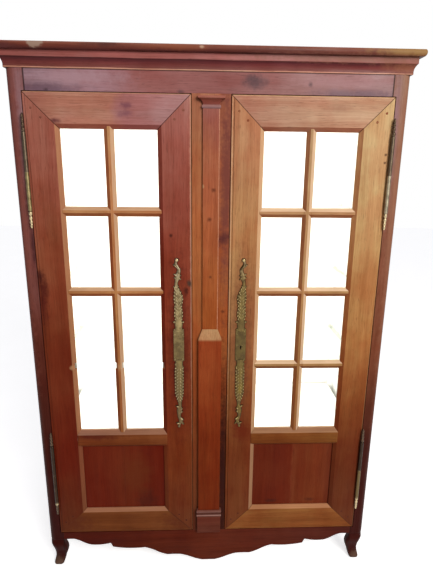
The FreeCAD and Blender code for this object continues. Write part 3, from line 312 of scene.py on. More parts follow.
# Rear posts and side frames: the same wood, pegged together at the corners, with two flat panels
# a side held in grooves. Inside they are brushed off-white.

def facing(tree, way):
    """1 on the faces that look the given way in the piece's own frame, else 0."""
    normal = add(tree, "TexCoord", {}).outputs["Normal"]
    return ramp(tree, agreement(tree, normal, way), 0.4, 0.6)


# Heights over which the paint comes in above the floor, and how far it goes past the panels' faces
PAINT_FROM, PAINT_FULL = 0.135, 0.140
PAINT_OVER, PAINT_END = 0.001, 0.002


def house_paint(tree, place, ways):
    """Off-white brushed paint: its colour, and its share on inside faces that look the given ways."""
    brushed = cloud(tree, place, (160, 160, 5))
    yellowed = cloud(tree, place, (3, 3, 3))
    colour = tint(tree, ramp(tree, brushed, 0.3, 0.7), tone(241, 239, 233), tone(247, 245, 240))
    colour = tint(tree, ramp(tree, yellowed, 0.45, 0.8, 0.0, 0.15), colour, tone(236, 230, 216))
    # Dirt and painted shade grey the paint in its corners.
    dirty = ramp(tree, openness(tree, 0.02), 0.2, 0.7, 0.2, 0.0)
    colour = tint(tree, dirty, colour, tone(196, 190, 178))
    side_plane, back_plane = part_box("side_panels_right")[0].x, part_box("back_panels")[0].y
    spread = add(tree, "SeparateXYZ", {"Vector": place}).outputs
    aside = reckon(tree, "ABSOLUTE", spread["X"])
    within = ramp(tree, aside, side_plane + PAINT_OVER, side_plane + PAINT_END, 1.0, 0.0)
    before = ramp(tree, spread["Y"], back_plane + PAINT_OVER, back_plane + PAINT_END, 1.0, 0.0)
    above = ramp(tree, spread["Z"], PAINT_FROM, PAINT_FULL)
    inside = reckon(tree, "MULTIPLY", reckon(tree, "MULTIPLY", within, before), above)
    coverage = 0.0
    for way in ways:
        coverage = reckon(tree, "MAXIMUM", facing(tree, way), coverage)
    return colour, reckon(tree, "MULTIPLY", coverage, inside)


side_tones = [(0.20, tone(98, 44, 28)), (1.00, tone(110, 54, 36)), (1.80, tone(124, 70, 56))]
for side, sign in (("right", 1), ("left", -1)):
    inward = [(-sign, 0, 0)]
    finish(fruitwood("rear_post_wood_" + side, "Z", side_tones, seed=7.0 + sign,
                     painted=inward + [(0, -1, 0)]), "rear_post_" + side)
    finish(fruitwood("side_rail_wood_" + side, "Y", side_tones, seed=9.0 + sign,
                     painted=inward + [(0, 0, 1), (0, 0, -1)]), "side_rails_" + side)
    finish(fruitwood("side_panel_wood_" + side, "Z", side_tones, seed=11.0 + sign,
                     painted=inward), "side_panels_" + side)


# Frieze: one broad rail across the top between the posts, tenoned and pegged. Its colour has a
# purplish painted sheen towards both ends, and a blue-grey knot stain right of the middle.

def marks_on(face, rows, depth=0.02):
    """Marks on an upright face: rows of across, up, half width, half height, colour and strength."""
    return [((across, face, up), (wide, depth, tall), shade, strength)
            for across, up, wide, tall, shade, strength in rows]


FRIEZE_END = 0.589
KNOT_STAIN = tone(72, 50, 56)
PALE_PAINTED_SHEEN, DARK_PAINTED_SHEEN = tone(178, 142, 148), tone(96, 68, 82)
cornice_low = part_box("cornice_front")[0].z
frieze_tones = [(-0.59, tone(146, 111, 121)), (-0.40, tone(165, 124, 134)), (-0.20, tone(147, 88, 85)),
                (0.05, tone(136, 79, 76)), (0.30, tone(146, 98, 96)), (0.59, tone(151, 112, 113))]
# The purplish marks towards both ends are painted sheen; the small dark ones are knot stains.
frieze_marks = marks_on(CARCASS_FACE, [
    (-0.430, 1.870, 0.200, 0.030, PALE_PAINTED_SHEEN, 0.6),
    (-0.530, 1.834, 0.150, 0.026, DARK_PAINTED_SHEEN, 0.7),
    (0.470, 1.832, 0.190, 0.022, DARK_PAINTED_SHEEN, 0.7),
    (0.440, 1.866, 0.200, 0.026, tone(172, 128, 130), 0.5),
    (0.140, 1.864, 0.050, 0.030, KNOT_STAIN, 0.75),
    (0.126, 1.876, 0.024, 0.014, KNOT_STAIN, 0.55),
    (0.319, 1.861, 0.010, 0.010, KNOT_STAIN, 0.7),
    (-0.522, 1.832, 0.012, 0.007, KNOT_STAIN, 0.8),
    (-0.100, 1.832, 0.016, 0.008, KNOT_STAIN, 0.7),
])
finish(fruitwood("frieze_wood", "X", frieze_tones, by="X", drift=0.06, sheen=0.2, figure=0.8, dirt=0.2,
                 marks=frieze_marks, seams=[(1, 0, FRIEZE_END, 0.8), (0, 1, cornice_low - 0.001, 0.7)]),
       "frieze_rail")


# Apron: a wide rail of the same wood, tenoned between the posts below the doors, its lower edge
# sawn to scallops and eased by hand. It is the darkest piece, its darkness partly painted shade
# near the floor.

apron_tones = [(-0.6, tone(80, 23, 10)), (0.0, tone(98, 37, 20)), (0.6, tone(84, 34, 25))]
finish(fruitwood("apron_wood", "X", apron_tones, by="X", seed=2.0, worn=0.4), "apron_rail")


# Centre post and pilaster: a flat post between the doors, with a pilaster planted on it in four
# pieces: a base, a wide lower shaft with a bare sloped top, a slim upper shaft and a capital.

BARE_WOOD = tone(190, 146, 104)
SMALL_KNOT = tone(84, 38, 24)
centre_tones = [(0.20, tone(100, 48, 28)), (0.60, tone(132, 66, 34)), (1.00, tone(162, 88, 46)),
                (1.45, tone(172, 100, 60)), (1.80, tone(162, 104, 78))]
# The first two marks, long and dark on the strip right of the shaft, are painted shadow.
centre_marks = marks_on(CARCASS_FACE, [
    (0.054, 0.400, 0.034, 0.640, tone(52, 18, 10), 1.0),
    (0.052, 1.550, 0.034, 0.480, tone(116, 60, 52), 0.9),
    (0.043, 1.360, 0.030, 0.036, tone(88, 44, 42), 0.85),
    (0.047, 1.098, 0.012, 0.010, SMALL_KNOT, 0.8),
], depth=0.03)
finish(fruitwood("centre_post_wood", "Z", centre_tones, seed=5.0, marks=centre_marks), "centre_post")
lower_tones = [(0.25, tone(122, 47, 18)), (0.60, tone(128, 52, 21)), (0.988, tone(152, 70, 36)),
               (0.997, BARE_WOOD), (1.033, BARE_WOOD)]
finish(fruitwood("lower_shaft_wood", "Z", lower_tones, drift=0.002, seed=5.6), "pilaster_lower_shaft")
shaft_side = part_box("pilaster_upper_shaft")[1].x
SHAFT_FACE = -0.25
# A painted highlight runs up the right arris of the upper shaft; the rest are bare spots and knots.
SHAFT_ARRIS_HIGHLIGHT = tone(206, 146, 116)
shaft_marks = marks_on(SHAFT_FACE, [(shaft_side, 1.400, 0.0035, 1.200, SHAFT_ARRIS_HIGHLIGHT, 0.75)], depth=0.05)
shaft_marks += marks_on(SHAFT_FACE, [
    (-shaft_side, 1.537, 0.006, 0.008, BARE_WOOD, 0.9),
    (-0.005, 1.428, 0.011, 0.011, SMALL_KNOT, 0.75),
    (0.009, 1.526, 0.010, 0.010, SMALL_KNOT, 0.75),
    (0.0, 1.228, 0.008, 0.008, SMALL_KNOT, 0.75),
], depth=0.03)
upper_tones = [(1.03, tone(163, 84, 40)), (1.22, tone(168, 91, 48)), (1.42, tone(168, 97, 60)),
               (1.60, tone(164, 95, 68)), (1.78, tone(152, 90, 80))]
finish(fruitwood("upper_shaft_wood", "Z", upper_tones, seed=6.3, marks=shaft_marks), "pilaster_upper_shaft")
# The two pale bands are painted highlights along the base's two reeds, with painted shade between them.
base_tones = [(0.160, tone(98, 48, 36)), (0.232, tone(106, 52, 38)), (0.240, tone(112, 68, 58)),
              (0.243, tone(164, 124, 114)), (0.246, tone(112, 68, 58)), (0.252, tone(80, 42, 34)),
              (0.257, tone(112, 68, 58)), (0.260, tone(164, 124, 114)), (0.263, tone(112, 68, 58)),
              (0.266, tone(120, 74, 62))]
finish(fruitwood("pilaster_base_wood", "X", base_tones, drift=0.0005, seed=6.9), "pilaster_base")
capital_tones = [(1.782, tone(148, 108, 110)), (1.792, tone(148, 102, 98)), (1.796, tone(120, 58, 50)),
                 (1.810, tone(142, 76, 64)), (1.814, tone(174, 110, 96))]
finish(fruitwood("capital_wood", "X", capital_tones, drift=0.001, seed=7.4), "pilaster_capital")


# Cornice: a run moulding in three lengths, mitred at the corners and glued to the frieze and
# posts. One filled patch shows pale on the left, and the right end is rubbed to bare wood.

FILLER = tone(160, 130, 112)
OLIVE_WEAR = tone(150, 112, 62)
CROWN_FACE, FASCIA_FACE, COVE_FACE = -0.262, -0.255, -0.250
# The bands up the moulding are painted light: a pale painted highlight on the lower fillet, painted shade
# darkening up the cove, and a painted shadow under the crown.
cornice_tones = [(cornice_low + rise, colour) for rise, colour in (
    (0.0, tone(110, 60, 52)), (0.001, tone(206, 150, 128)), (0.0034, tone(200, 144, 122)),
    (0.0046, tone(122, 66, 60)), (0.016, tone(117, 54, 52)), (0.024, tone(97, 38, 42)),
    (0.030, tone(76, 28, 30)), (0.0315, tone(159, 94, 90)), (0.048, tone(168, 100, 96)),
    (0.0505, tone(80, 34, 28)), (0.057, tone(106, 50, 38)), (0.064, tone(126, 70, 54)),
    (0.070, tone(146, 94, 82)))]
cornice_marks = [
    ((-0.330, CROWN_FACE, 1.958), (0.080, 0.05, 0.014), tone(70, 30, 26), 0.75),
    ((-0.660, CROWN_FACE, 1.950), (0.090, 0.05, 0.012), tone(92, 46, 44), 0.7),
    ((-0.100, CROWN_FACE, 1.956), (0.150, 0.05, 0.012), tone(146, 78, 46), 0.5),
    ((0.180, CROWN_FACE, 1.952), (0.160, 0.05, 0.012), tone(88, 44, 36), 0.6),
    ((0.650, CROWN_FACE, 1.958), (0.200, 0.08, 0.024), OLIVE_WEAR, 0.95),
    ((0.430, FASCIA_FACE, 1.935), (0.480, 0.06, 0.016), tone(138, 86, 70), 1.0),
    ((0.640, COVE_FACE, 1.912), (0.130, 0.08, 0.022), tone(142, 86, 62), 0.8),
    ((-0.537, CROWN_FACE, 1.965), (0.028, 0.05, 0.020), FILLER, 3.0),
    ((-0.031, CROWN_FACE, 1.957), (0.010, 0.05, 0.006), tone(186, 150, 122), 0.9),
]
finish(fruitwood("cornice_wood", "X", cornice_tones, drift=0.001, sheen=0.2, seed=4.0, worn=0.35,
                 marks=cornice_marks), "cornice_front")
finish(fruitwood("cornice_return_wood", "Y", cornice_tones, drift=0.001, sheen=0.2, seed=4.5,
                 worn=0.35), "cornice_right", "cornice_left")


# Top boards and back: plain boards in a pegged frame, left unwaxed outside and gone grey-brown.
# The faces towards the inside are brushed off-white.

dry_tones = [(0.2, tone(128, 96, 70)), (1.0, tone(138, 104, 76)), (1.9, tone(146, 112, 84))]
finish(fruitwood("top_board_wood", "X", dry_tones, sheen=0.1, seed=8.0, figure=1.4, painted=[(0, 0, -1)]),
       "top_boards")
inside = [(0, -1, 0)]
finish(fruitwood("back_rail_wood", "X", dry_tones, sheen=0.1, seed=8.4, figure=1.4, painted=inside),
       "back_bottom_rail", "back_top_rail")
finish(fruitwood("back_panel_wood", "Z", dry_tones, sheen=0.1, seed=8.8, figure=1.4, painted=inside),
       "back_muntin", "back_panels")


# Floor, shelf and bearers: planed boards laid loose on bearers that are screwed to the posts and
# rails, brushed off-white all over.

def painted_wood(name):
    """Brushed paint over planed boards, a little yellowed, with dirt and painted shade in the corners."""
    material, tree, place = blank_material(name)
    colour, _ = house_paint(tree, place, [])
    strokes = cloud(tree, place, (5, 160, 160))
    eased = arrises(tree, 0.0015, 0.03, 0.25)[1]
    bump = add(tree, "Bump", {"Strength": 0.25, "Distance": 0.0006, "Height": strokes, "Normal": eased})
    return dressed(material, colour, ramp(tree, strokes, 0.3, 0.7, 0.45, 0.62), bump)


finish(painted_wood("inside_paint"), "shelf_boards", "shelf_bearers")


# Glass shelves and panes: old drawn glass, clear and slightly wavy, the panes puttied in from
# behind and the shelves laid loose on their bearers.

EDGE_MIRROR, FACE_MIRROR = 0.5, 0.012


def clear_glass(name, clear):
    """Clear glass: light goes straight through, with a wavy reflection by the angle."""
    material, tree, place = blank_material(name)
    waves = cloud(tree, place, (9, 9, 5), detail=2)
    bump = add(tree, "Bump", {"Strength": 0.15, "Distance": 0.003, "Height": waves}).outputs["Normal"]
    dust = ramp(tree, cloud(tree, place, (30, 30, 18), detail=5), 0.3, 0.8, 0.04, 0.14)
    through = add(tree, "BsdfTransparent", {"Color": clear}).outputs[0]
    mirror = add(tree, "BsdfGlossy", {"Color": tone(250, 252, 250), "Roughness": dust, "Normal": bump})
    slant = add(tree, "LayerWeight", {"Blend": 0.5, "Normal": bump}).outputs["Facing"]
    bounce = weighed(tree, (reckon(tree, "POWER", slant, 5.0), EDGE_MIRROR), (1.0, FACE_MIRROR))
    both = add(tree, "MixShader", {0: bounce, 1: through, 2: mirror.outputs[0]})
    tree.links.new(both.outputs[0], tree.nodes["Material Output"].inputs["Surface"])
    tree.nodes.remove(tree.nodes["Principled BSDF"])
    return material


finish(clear_glass("pane_glass", tone(253, 254, 253)), "right_door_panes", "left_door_panes")
finish(clear_glass("shelf_glass", tone(251, 253, 251)), "glass_shelves")


# Left door: stiles and rails mitred at the face and pegged, with a two-board panel below. It is
# red-brown, darker towards the floor, partly as painted shade, with a purplish painted sheen above
# and some dark knots.

def door_wood(side, member, along, tones, **looks):
    """Waxed fruitwood on one member of a door's frame."""
    finish(fruitwood(f"{side}_{member}_wood", along, tones, **looks), f"{side}_door_{member}")


DOOR_FACE, SLOPE_RIM, SLOPE_FACE, PANEL_FACE = -0.239, -0.236, -0.235, -0.227
door_low, door_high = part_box("left_door_outer_stile")[0].z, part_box("left_door_outer_stile")[1].z
door_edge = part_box("right_door_outer_stile")[1].x
door_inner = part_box("right_door_inner_stile")[0].x
outer_head, inner_head = (1, -1, door_edge - door_high, 0.8), (1, 1, door_inner + door_high, 0.8)
outer_foot, inner_foot = (1, 1, door_edge + door_low, 0.6), (1, -1, door_inner - door_low, 0.6)
faint_foot = (1, 1, door_edge + door_low, 0.15)
DARK_KNOT = tone(60, 26, 20)
left_outer = [(0.17, tone(106, 52, 29)), (0.28, tone(106, 44, 24)), (0.50, tone(110, 35, 17)),
              (1.05, tone(125, 56, 33)), (1.35, tone(142, 74, 50)), (1.60, tone(160, 90, 74)),
              (1.80, tone(164, 100, 86))]
left_inner = [(0.17, tone(110, 56, 32)), (0.28, tone(112, 52, 28)), (0.50, tone(119, 52, 23)),
              (1.25, tone(138, 62, 42)), (1.60, tone(154, 86, 73)), (1.80, tone(162, 104, 95))]
left_top = [(-0.60, tone(177, 122, 108)), (-0.45, tone(185, 132, 113)), (-0.31, tone(180, 124, 108)),
            (-0.25, tone(168, 114, 113)), (-0.07, tone(168, 122, 122))]
HONEY, LEFT_EDGE_HIGHLIGHT = tone(196, 142, 102), tone(200, 146, 122)
left_outer_marks = marks_on(DOOR_FACE, [
    (-0.594, 1.228, 0.020, 0.034, tone(66, 28, 26), 0.85),
    (-0.580, 1.180, 0.018, 0.070, tone(80, 32, 24), 0.75),
    (-0.592, 1.130, 0.028, 0.130, tone(84, 28, 22), 0.75),
])
left_outer_marks += marks_on(SLOPE_FACE, [(-0.503, 0.883, 0.012, 0.012, BARE_WOOD, 0.8)])
# A short painted highlight on the rim of the slope by the middle rail.
left_outer_marks += marks_on(SLOPE_RIM, [(-0.501, 0.588, 0.004, 0.016, LEFT_EDGE_HIGHLIGHT, 0.7)])
# The long pale strip is a painted highlight along the inner edge, and the wide dark patch round the key
# plate is painted shadow; the rest are bare spots and knots.
left_inner_marks = marks_on(DOOR_FACE, [
    (-0.068, 1.450, 0.0045, 0.850, LEFT_EDGE_HIGHLIGHT, 0.75),
    (-0.113, 0.965, 0.050, 0.420, tone(70, 22, 18), 0.65),
    (-0.068, 1.548, 0.006, 0.009, BARE_WOOD, 0.9),
    (-0.072, 1.202, 0.014, 0.018, tone(64, 52, 44), 0.9),
    (-0.085, 1.178, 0.011, 0.026, DARK_KNOT, 0.75),
    (-0.136, 1.373, 0.010, 0.008, DARK_KNOT, 0.85),
])
left_inner_marks += marks_on(SLOPE_FACE, [(-0.173, 0.883, 0.012, 0.012, BARE_WOOD, 0.6)])
# The long pale strip is a painted highlight along the top edge; the rest are stains.
left_top_marks = marks_on(DOOR_FACE, [
    (-0.330, 1.826, 1.000, 0.0045, LEFT_EDGE_HIGHLIGHT, 0.75),
    (-0.503, 1.740, 0.026, 0.011, tone(94, 46, 50), 0.85),
    (-0.272, 1.788, 0.026, 0.015, tone(116, 68, 80), 0.75),
    (-0.278, 1.764, 0.032, 0.016, tone(124, 76, 86), 0.7),
])
left_mid_marks = marks_on(DOOR_FACE, [(-0.430, 0.596, 0.140, 0.020, tone(88, 30, 20), 0.75)])
left_bottom_marks = marks_on(DOOR_FACE, [(across, 0.205, 0.12, 0.07, tone(96, 42, 24), 0.75)
                                         for across in (-0.56, -0.10)])
left_panel_marks = marks_on(PANEL_FACE, [(-0.250, 0.300, 0.060, 0.070, DARK_KNOT, 0.5),
                                         (-0.285, 0.420, 0.080, 0.120, tone(108, 52, 24), 0.5)])
left_mid = [(0.56, tone(119, 58, 28)), (0.62, tone(127, 66, 35))]
left_bottom = [(0.16, tone(121, 69, 34)), (0.27, tone(125, 73, 38))]
left_mid_pale, left_bottom_pale = tone(200, 158, 132), tone(190, 134, 102)
door_wood("left", "outer_stile", "Z", left_outer, figure=1.1, seed=20.0, bleach=(HONEY, 0.75, 0.25),
          marks=left_outer_marks, seams=[outer_head, faint_foot])
door_wood("left", "inner_stile", "Z", left_inner, figure=1.1, seed=20.4, bleach=(HONEY, 0.75, 0.25),
          marks=left_inner_marks, seams=[inner_head, inner_foot])
door_wood("left", "top_rail", "X", left_top, by="X", figure=1.0, seed=20.8, dirt=0.15,
          bleach=(HONEY, 0.75, 0.75), marks=left_top_marks, seams=[outer_head, inner_head])
door_wood("left", "mid_rail", "X", left_mid, seed=21.2, bleach=(left_mid_pale, 0.85, 0.85),
          marks=left_mid_marks)
door_wood("left", "bottom_rail", "X", left_bottom, seed=21.6, bleach=(left_bottom_pale, 0.8, 0.8),
          marks=left_bottom_marks, seams=[faint_foot, inner_foot])
left_panel = [(-0.50, tone(107, 32, 16)), (-0.33, tone(111, 41, 21)), (-0.18, tone(101, 27, 12))]
finish(fruitwood("left_panel_wood", "Z", left_panel, by="X", drift=0.02, seed=23.0, figure=0.9,
                 marks=left_panel_marks), "left_door_lower_panel")


# Right door: made as the left one. It is honey above its lowest third, most of all towards its
# outer edge, a paleness that is partly painted light from the right.

right_outer = [(0.20, tone(108, 54, 32)), (0.50, tone(109, 49, 25)), (0.75, tone(140, 80, 42)),
               (1.05, tone(176, 119, 70)), (1.40, tone(192, 148, 100)), (1.70, tone(202, 168, 122))]
right_inner = [(0.20, tone(122, 64, 36)), (0.50, tone(119, 56, 28)), (0.80, tone(148, 91, 52)),
               (1.05, tone(164, 111, 71)), (1.40, tone(180, 126, 82)), (1.75, tone(183, 129, 94))]
right_top = [(0.07, tone(174, 121, 101)), (0.25, tone(181, 134, 111)), (0.60, tone(194, 152, 123))]
HONEY_HIGHLIGHT, RIGHT_EDGE_HIGHLIGHT = tone(212, 164, 116), tone(226, 184, 142)
right_outer_marks = marks_on(DOOR_FACE, [
    (0.585, 1.646, 0.006, 0.006, DARK_KNOT, 0.8),
    (0.584, 1.620, 0.006, 0.006, DARK_KNOT, 0.8),
])
# The long pale strip is a painted highlight along the inner edge, and the wide dark patch round the key
# plate is painted shadow.
right_inner_marks = marks_on(DOOR_FACE, [
    (0.068, 1.450, 0.0045, 0.900, RIGHT_EDGE_HIGHLIGHT, 0.6),
    (0.113, 0.965, 0.050, 0.420, tone(96, 50, 36), 0.6),
    (0.128, 0.615, 0.055, 0.055, tone(104, 28, 13), 0.6),
])
# The long pale strip is a painted highlight along the top edge.
right_top_marks = marks_on(DOOR_FACE, [
    (0.330, 1.826, 1.000, 0.0045, RIGHT_EDGE_HIGHLIGHT, 0.7),
    (0.420, 1.790, 0.050, 0.016, tone(140, 90, 70), 0.35),
])
right_mid = [(0.56, tone(122, 69, 31)), (0.62, tone(132, 79, 38))]
right_bottom = [(0.16, tone(141, 82, 41)), (0.27, tone(152, 94, 50))]
right_mid_pale, right_bottom_pale = tone(216, 174, 138), tone(206, 148, 106)
door_wood("right", "outer_stile", "Z", right_outer, figure=0.9, seed=25.0, bleach=(HONEY_HIGHLIGHT, 0.7, 0.2),
          marks=right_outer_marks, seams=[outer_head, outer_foot])
door_wood("right", "inner_stile", "Z", right_inner, figure=1.0, seed=25.4, bleach=(RIGHT_EDGE_HIGHLIGHT, 0.8, 0.45),
          marks=right_inner_marks, seams=[inner_head, inner_foot])
door_wood("right", "top_rail", "X", right_top, by="X", figure=0.9, seed=25.8, dirt=0.15,
          bleach=(HONEY_HIGHLIGHT, 0.7, 0.7), marks=right_top_marks, seams=[outer_head, inner_head])
door_wood("right", "mid_rail", "X", right_mid, seed=26.2, bleach=(right_mid_pale, 0.85, 0.85))
door_wood("right", "bottom_rail", "X", right_bottom, seed=26.6, bleach=(right_bottom_pale, 0.8, 0.8),
          seams=[outer_foot, inner_foot])
right_panel = [(0.18, tone(104, 39, 20)), (0.322, tone(108, 40, 21)), (0.336, tone(122, 57, 32)),
               (0.352, tone(115, 50, 26)), (0.440, tone(117, 51, 26)), (0.50, tone(103, 41, 23))]
right_panel_marks = marks_on(PANEL_FACE, [
    (0.255, 0.287, 0.034, 0.013, DARK_KNOT, 0.6),
    (0.412, 0.290, 0.024, 0.011, DARK_KNOT, 0.6),
])
finish(fruitwood("right_panel_wood", "Z", right_panel, by="X", drift=0.02, seed=28.0, figure=0.9,
                 marks=right_panel_marks), "right_door_lower_panel")


# Pegs: split oak pins driven through the joints and cut flush, so only their end grain shows.
# Those in the doors are stained with the frame and hardly darker than it.

finish(fruitwood("frame_peg_wood", "Y", [(0.2, tone(70, 34, 24)), (1.8, tone(86, 46, 38))]), "frame_pegs")
left_peg = [(0.2, tone(86, 36, 22)), (1.8, tone(140, 82, 68))]
right_peg = [(0.2, tone(94, 46, 28)), (1.8, tone(150, 90, 62))]
finish(fruitwood("left_peg_wood", "Y", left_peg, dirt=0.2), "left_door_pegs")
finish(fruitwood("right_peg_wood", "Y", right_peg, dirt=0.2), "right_door_pegs")


# Glazing bars: slim moulded bars halved into each other and stub-tenoned into the frame, of a
# paler wood than the frame. Each door has one upright and level bars in two stubs.

BAR_HALF = 0.01625
bar_pales = {"right": tone(240, 208, 172), "left": tone(216, 176, 140)}
bar_low, bar_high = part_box("right_door_glazing_bars")
bar_middle = (bar_low.x + bar_high.x) / 2
bar_tones = {
    "right": [(0.62, tone(160, 104, 60)), (1.10, tone(182, 136, 90)), (1.72, tone(192, 150, 112))],
    "left": [(0.62, tone(166, 103, 60)), (1.10, tone(186, 126, 78)), (1.72, tone(192, 137, 95))],
}
lost_seat = marks_on(SLOPE_FACE, [(-bar_middle, 0.883, 0.020, 0.014, BARE_WOOD, 0.7)])
for side, seed, marks in (("right", 31.0, []), ("left", 33.0, lost_seat)):
    finish(fruitwood(side + "_bar_wood", "X", bar_tones[side], seed=seed, worn=0.3, figure=1.2,
                     ease=0.0012, bleach=(bar_pales[side], 0.85, 0.85), marks=marks,
                     upright=(bar_middle, BAR_HALF)), side + "_door_glazing_bars")


# Putty: chalk and linseed oil, run round the back of every pane with a knife to hold it in its
# rebate, now set hard and dull grey-white.

def linseed_putty(name):
    """Dull grey-white putty with knife drags and small pits."""
    material, tree, place = blank_material(name)
    drags = cloud(tree, place, (60, 60, 60), detail=5)
    colour = tint(tree, ramp(tree, drags, 0.3, 0.7), tone(214, 206, 190), tone(232, 226, 214))
    bump = add(tree, "Bump", {"Strength": 0.4, "Distance": 0.001, "Height": drags})
    return dressed(material, colour, ramp(tree, drags, 0.3, 0.7, 0.7, 0.9), bump)


finish(linseed_putty("putty"), "right_door_putty", "left_door_putty")


# Hinges: long brass barrels with turned finials, the lower half let into the post and the upper
# half into the door. They are dull and brown in the hollows, and the beads are rubbed bright with
# painted highlights on them.

def old_brass(name, brown, dulls, bright, mottle=1.0, relief_light=None):
    """Cast brass with brown tarnish in the hollows and rubbed high places.

    dulls are the (height, colour) pairs that its dull skin goes through, and mottle is the share of
    brown in it. relief_light is from how far forward to how far forward the relief goes from painted
    shadow at its back to rubbed brass with a painted highlight at its front.
    """
    material, tree, place = blank_material(name)
    cloudy = cloud(tree, place, (60, 60, 60), detail=4)
    specks = cloud(tree, place, (420, 420, 420))
    skin = graded(tree, place, "Z", dulls, 0.0)
    colour = tint(tree, ramp(tree, cloudy, 0.3, 0.7, mottle, 0.0), skin, brown)
    colour = tint(tree, ramp(tree, specks, 0.55, 0.75, 0.0, 0.35), colour, tone(60, 48, 30))
    # Painted light on the relief: painted shadow at its back, and at its front a painted highlight with the
    # rubbed brass.
    if relief_light:
        low, middle, high = relief_light
        backward = add(tree, "SeparateXYZ", {"Vector": place}).outputs["Y"]
        forward = reckon(tree, "MULTIPLY", backward, -1.0)
        colour = tint(tree, ramp(tree, forward, low, middle, 0.75, 0.0), colour, tone(50, 38, 24))
        colour = tint(tree, ramp(tree, forward, middle, high, 0.0, 0.85), colour, bright)
    arris, eased = arrises(tree, 0.0012, 0.02, 0.2)
    colour = tint(tree, reckon(tree, "MULTIPLY", arris, 0.7), colour, bright)
    dirty = ramp(tree, openness(tree, 0.006), 0.35, 0.8, 0.85, 0.0)
    colour = tint(tree, dirty, colour, tone(46, 34, 20))
    bump = add(tree, "Bump", {"Strength": 0.3, "Distance": 0.0006, "Height": specks, "Normal": eased})
    return dressed(material, colour, ramp(tree, cloudy, 0.3, 0.7, 0.3, 0.52), bump, ("Metallic", 0.85))


BEADS = 0.056
HINGE_RISE = 1.140
foot_z, head_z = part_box("post_hinge_halves_left")[0].z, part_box("left_door_hinge_halves")[1].z
low_z, high_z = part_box("left_door_hinge_halves")[0].z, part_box("post_hinge_halves_left")[1].z
# Bead bands: rubbed brass with painted highlights, and dull beads.
RUBBED_BEAD_HIGHLIGHTS, DULL_BEADS = tone(214, 194, 152), tone(92, 74, 58)
BEAD_FADE, FOOT_FADE, BODY_FADE = 0.004, 0.01, 0.1
post_half_skins = {"left": (tone(48, 35, 26), tone(158, 142, 98)),
                   "right": (tone(108, 90, 56), tone(178, 166, 138))}
for side, (low_skin, high_skin) in post_half_skins.items():
    foot_skin = DULL_BEADS if side == "left" else RUBBED_BEAD_HIGHLIGHTS
    foot_top, high_foot = foot_z + BEADS, foot_z + HINGE_RISE
    skin = [(foot_z, foot_skin), (foot_top - 3 * BEAD_FADE, foot_skin),
            (foot_top - 2 * BEAD_FADE, RUBBED_BEAD_HIGHLIGHTS), (foot_top - BEAD_FADE, RUBBED_BEAD_HIGHLIGHTS),
            (foot_top, low_skin), (high_foot - BODY_FADE, low_skin),
            (high_foot - FOOT_FADE, RUBBED_BEAD_HIGHLIGHTS), (high_foot + BEADS - BEAD_FADE, RUBBED_BEAD_HIGHLIGHTS),
            (high_foot + BEADS, high_skin), (high_z, high_skin)]
    finish(old_brass("post_hinge_brass_" + side, tone(74, 56, 36), skin, tone(232, 216, 182), mottle=0.4),
           "post_hinge_halves_" + side)
door_low_skin, door_high_skin = tone(50, 37, 28), tone(112, 97, 78)
low_head = head_z - HINGE_RISE
door_skin = [(low_z, door_low_skin), (low_head - BEADS, door_low_skin),
             (low_head - BEADS + BEAD_FADE, DULL_BEADS), (low_head, DULL_BEADS),
             (low_head + BODY_FADE, door_high_skin), (head_z - BEADS, door_high_skin),
             (head_z - BEADS + BEAD_FADE, DULL_BEADS), (head_z, DULL_BEADS)]
finish(old_brass("door_hinge_brass", tone(62, 48, 34), door_skin, tone(168, 150, 122), mottle=0.4),
       "right_door_hinge_halves", "left_door_hinge_halves")


# Key plates: long brass plates cast in relief and nailed to the inner stiles, a plain middle
# between two leafy ends that run out into scrolled stems. The right one is pierced for the key.

PLATE_HALF = 0.019
PLATE_TOP, PLATE_SEAM, PLATE_BOTTOM = 0.062, 0.005, -0.055
PLATE_THICK, PLATE_EASE = 0.003, 0.0009
KEYHOLE_RADIUS, KEYHOLE_SLOT, KEYHOLE_DROP, KEYHOLE_SIDES = 0.0032, 0.0018, 0.012, 14
LEAF_SIDES, LEAF_DEPTH, LEAF_STEPS = 16, 0.0048, 6
# Rows of a leafy end: height on the plate, how far its middle lies aside, half width
UPPER_END = [(0.058, 0.0, 0.0165), (0.072, 0.0, 0.0138), (0.092, 0.0, 0.0155), (0.101, 0.0, 0.0132),
             (0.124, 0.0, 0.0162), (0.150, 0.0, 0.0132), (0.184, 0.0, 0.0168), (0.237, -0.007, 0.006),
             (0.264, -0.002, 0.0095), (0.286, 0.003, 0.0068), (0.312, -0.008, 0.0054),
             (0.322, -0.005, 0.0052)]
LOWER_END = [(-0.051, 0.0, 0.0165), (-0.062, 0.0, 0.0142), (-0.100, 0.0, 0.0168), (-0.180, 0.0, 0.0162),
             (-0.233, 0.0015, 0.0070), (-0.258, -0.0005, 0.0105), (-0.281, -0.0015, 0.0066),
             (-0.299, 0.005, 0.0082), (-0.328, -0.003, 0.0045)]
# Leaflets up an end: its rows, the height of the first, the step to the next, how many
LEAFLETS = [(UPPER_END, 0.106, 0.0125, 10), (LOWER_END, -0.084, -0.0125, 11)]
BEAD, BEAD_INSET, BEAD_LEAN = (0.0030, 0.0066, 0.0046), 0.0020, 12
RIB, RIB_SHARE, RIB_LEAN = (0.0018, 0.0064, 0.0085), 0.36, 34
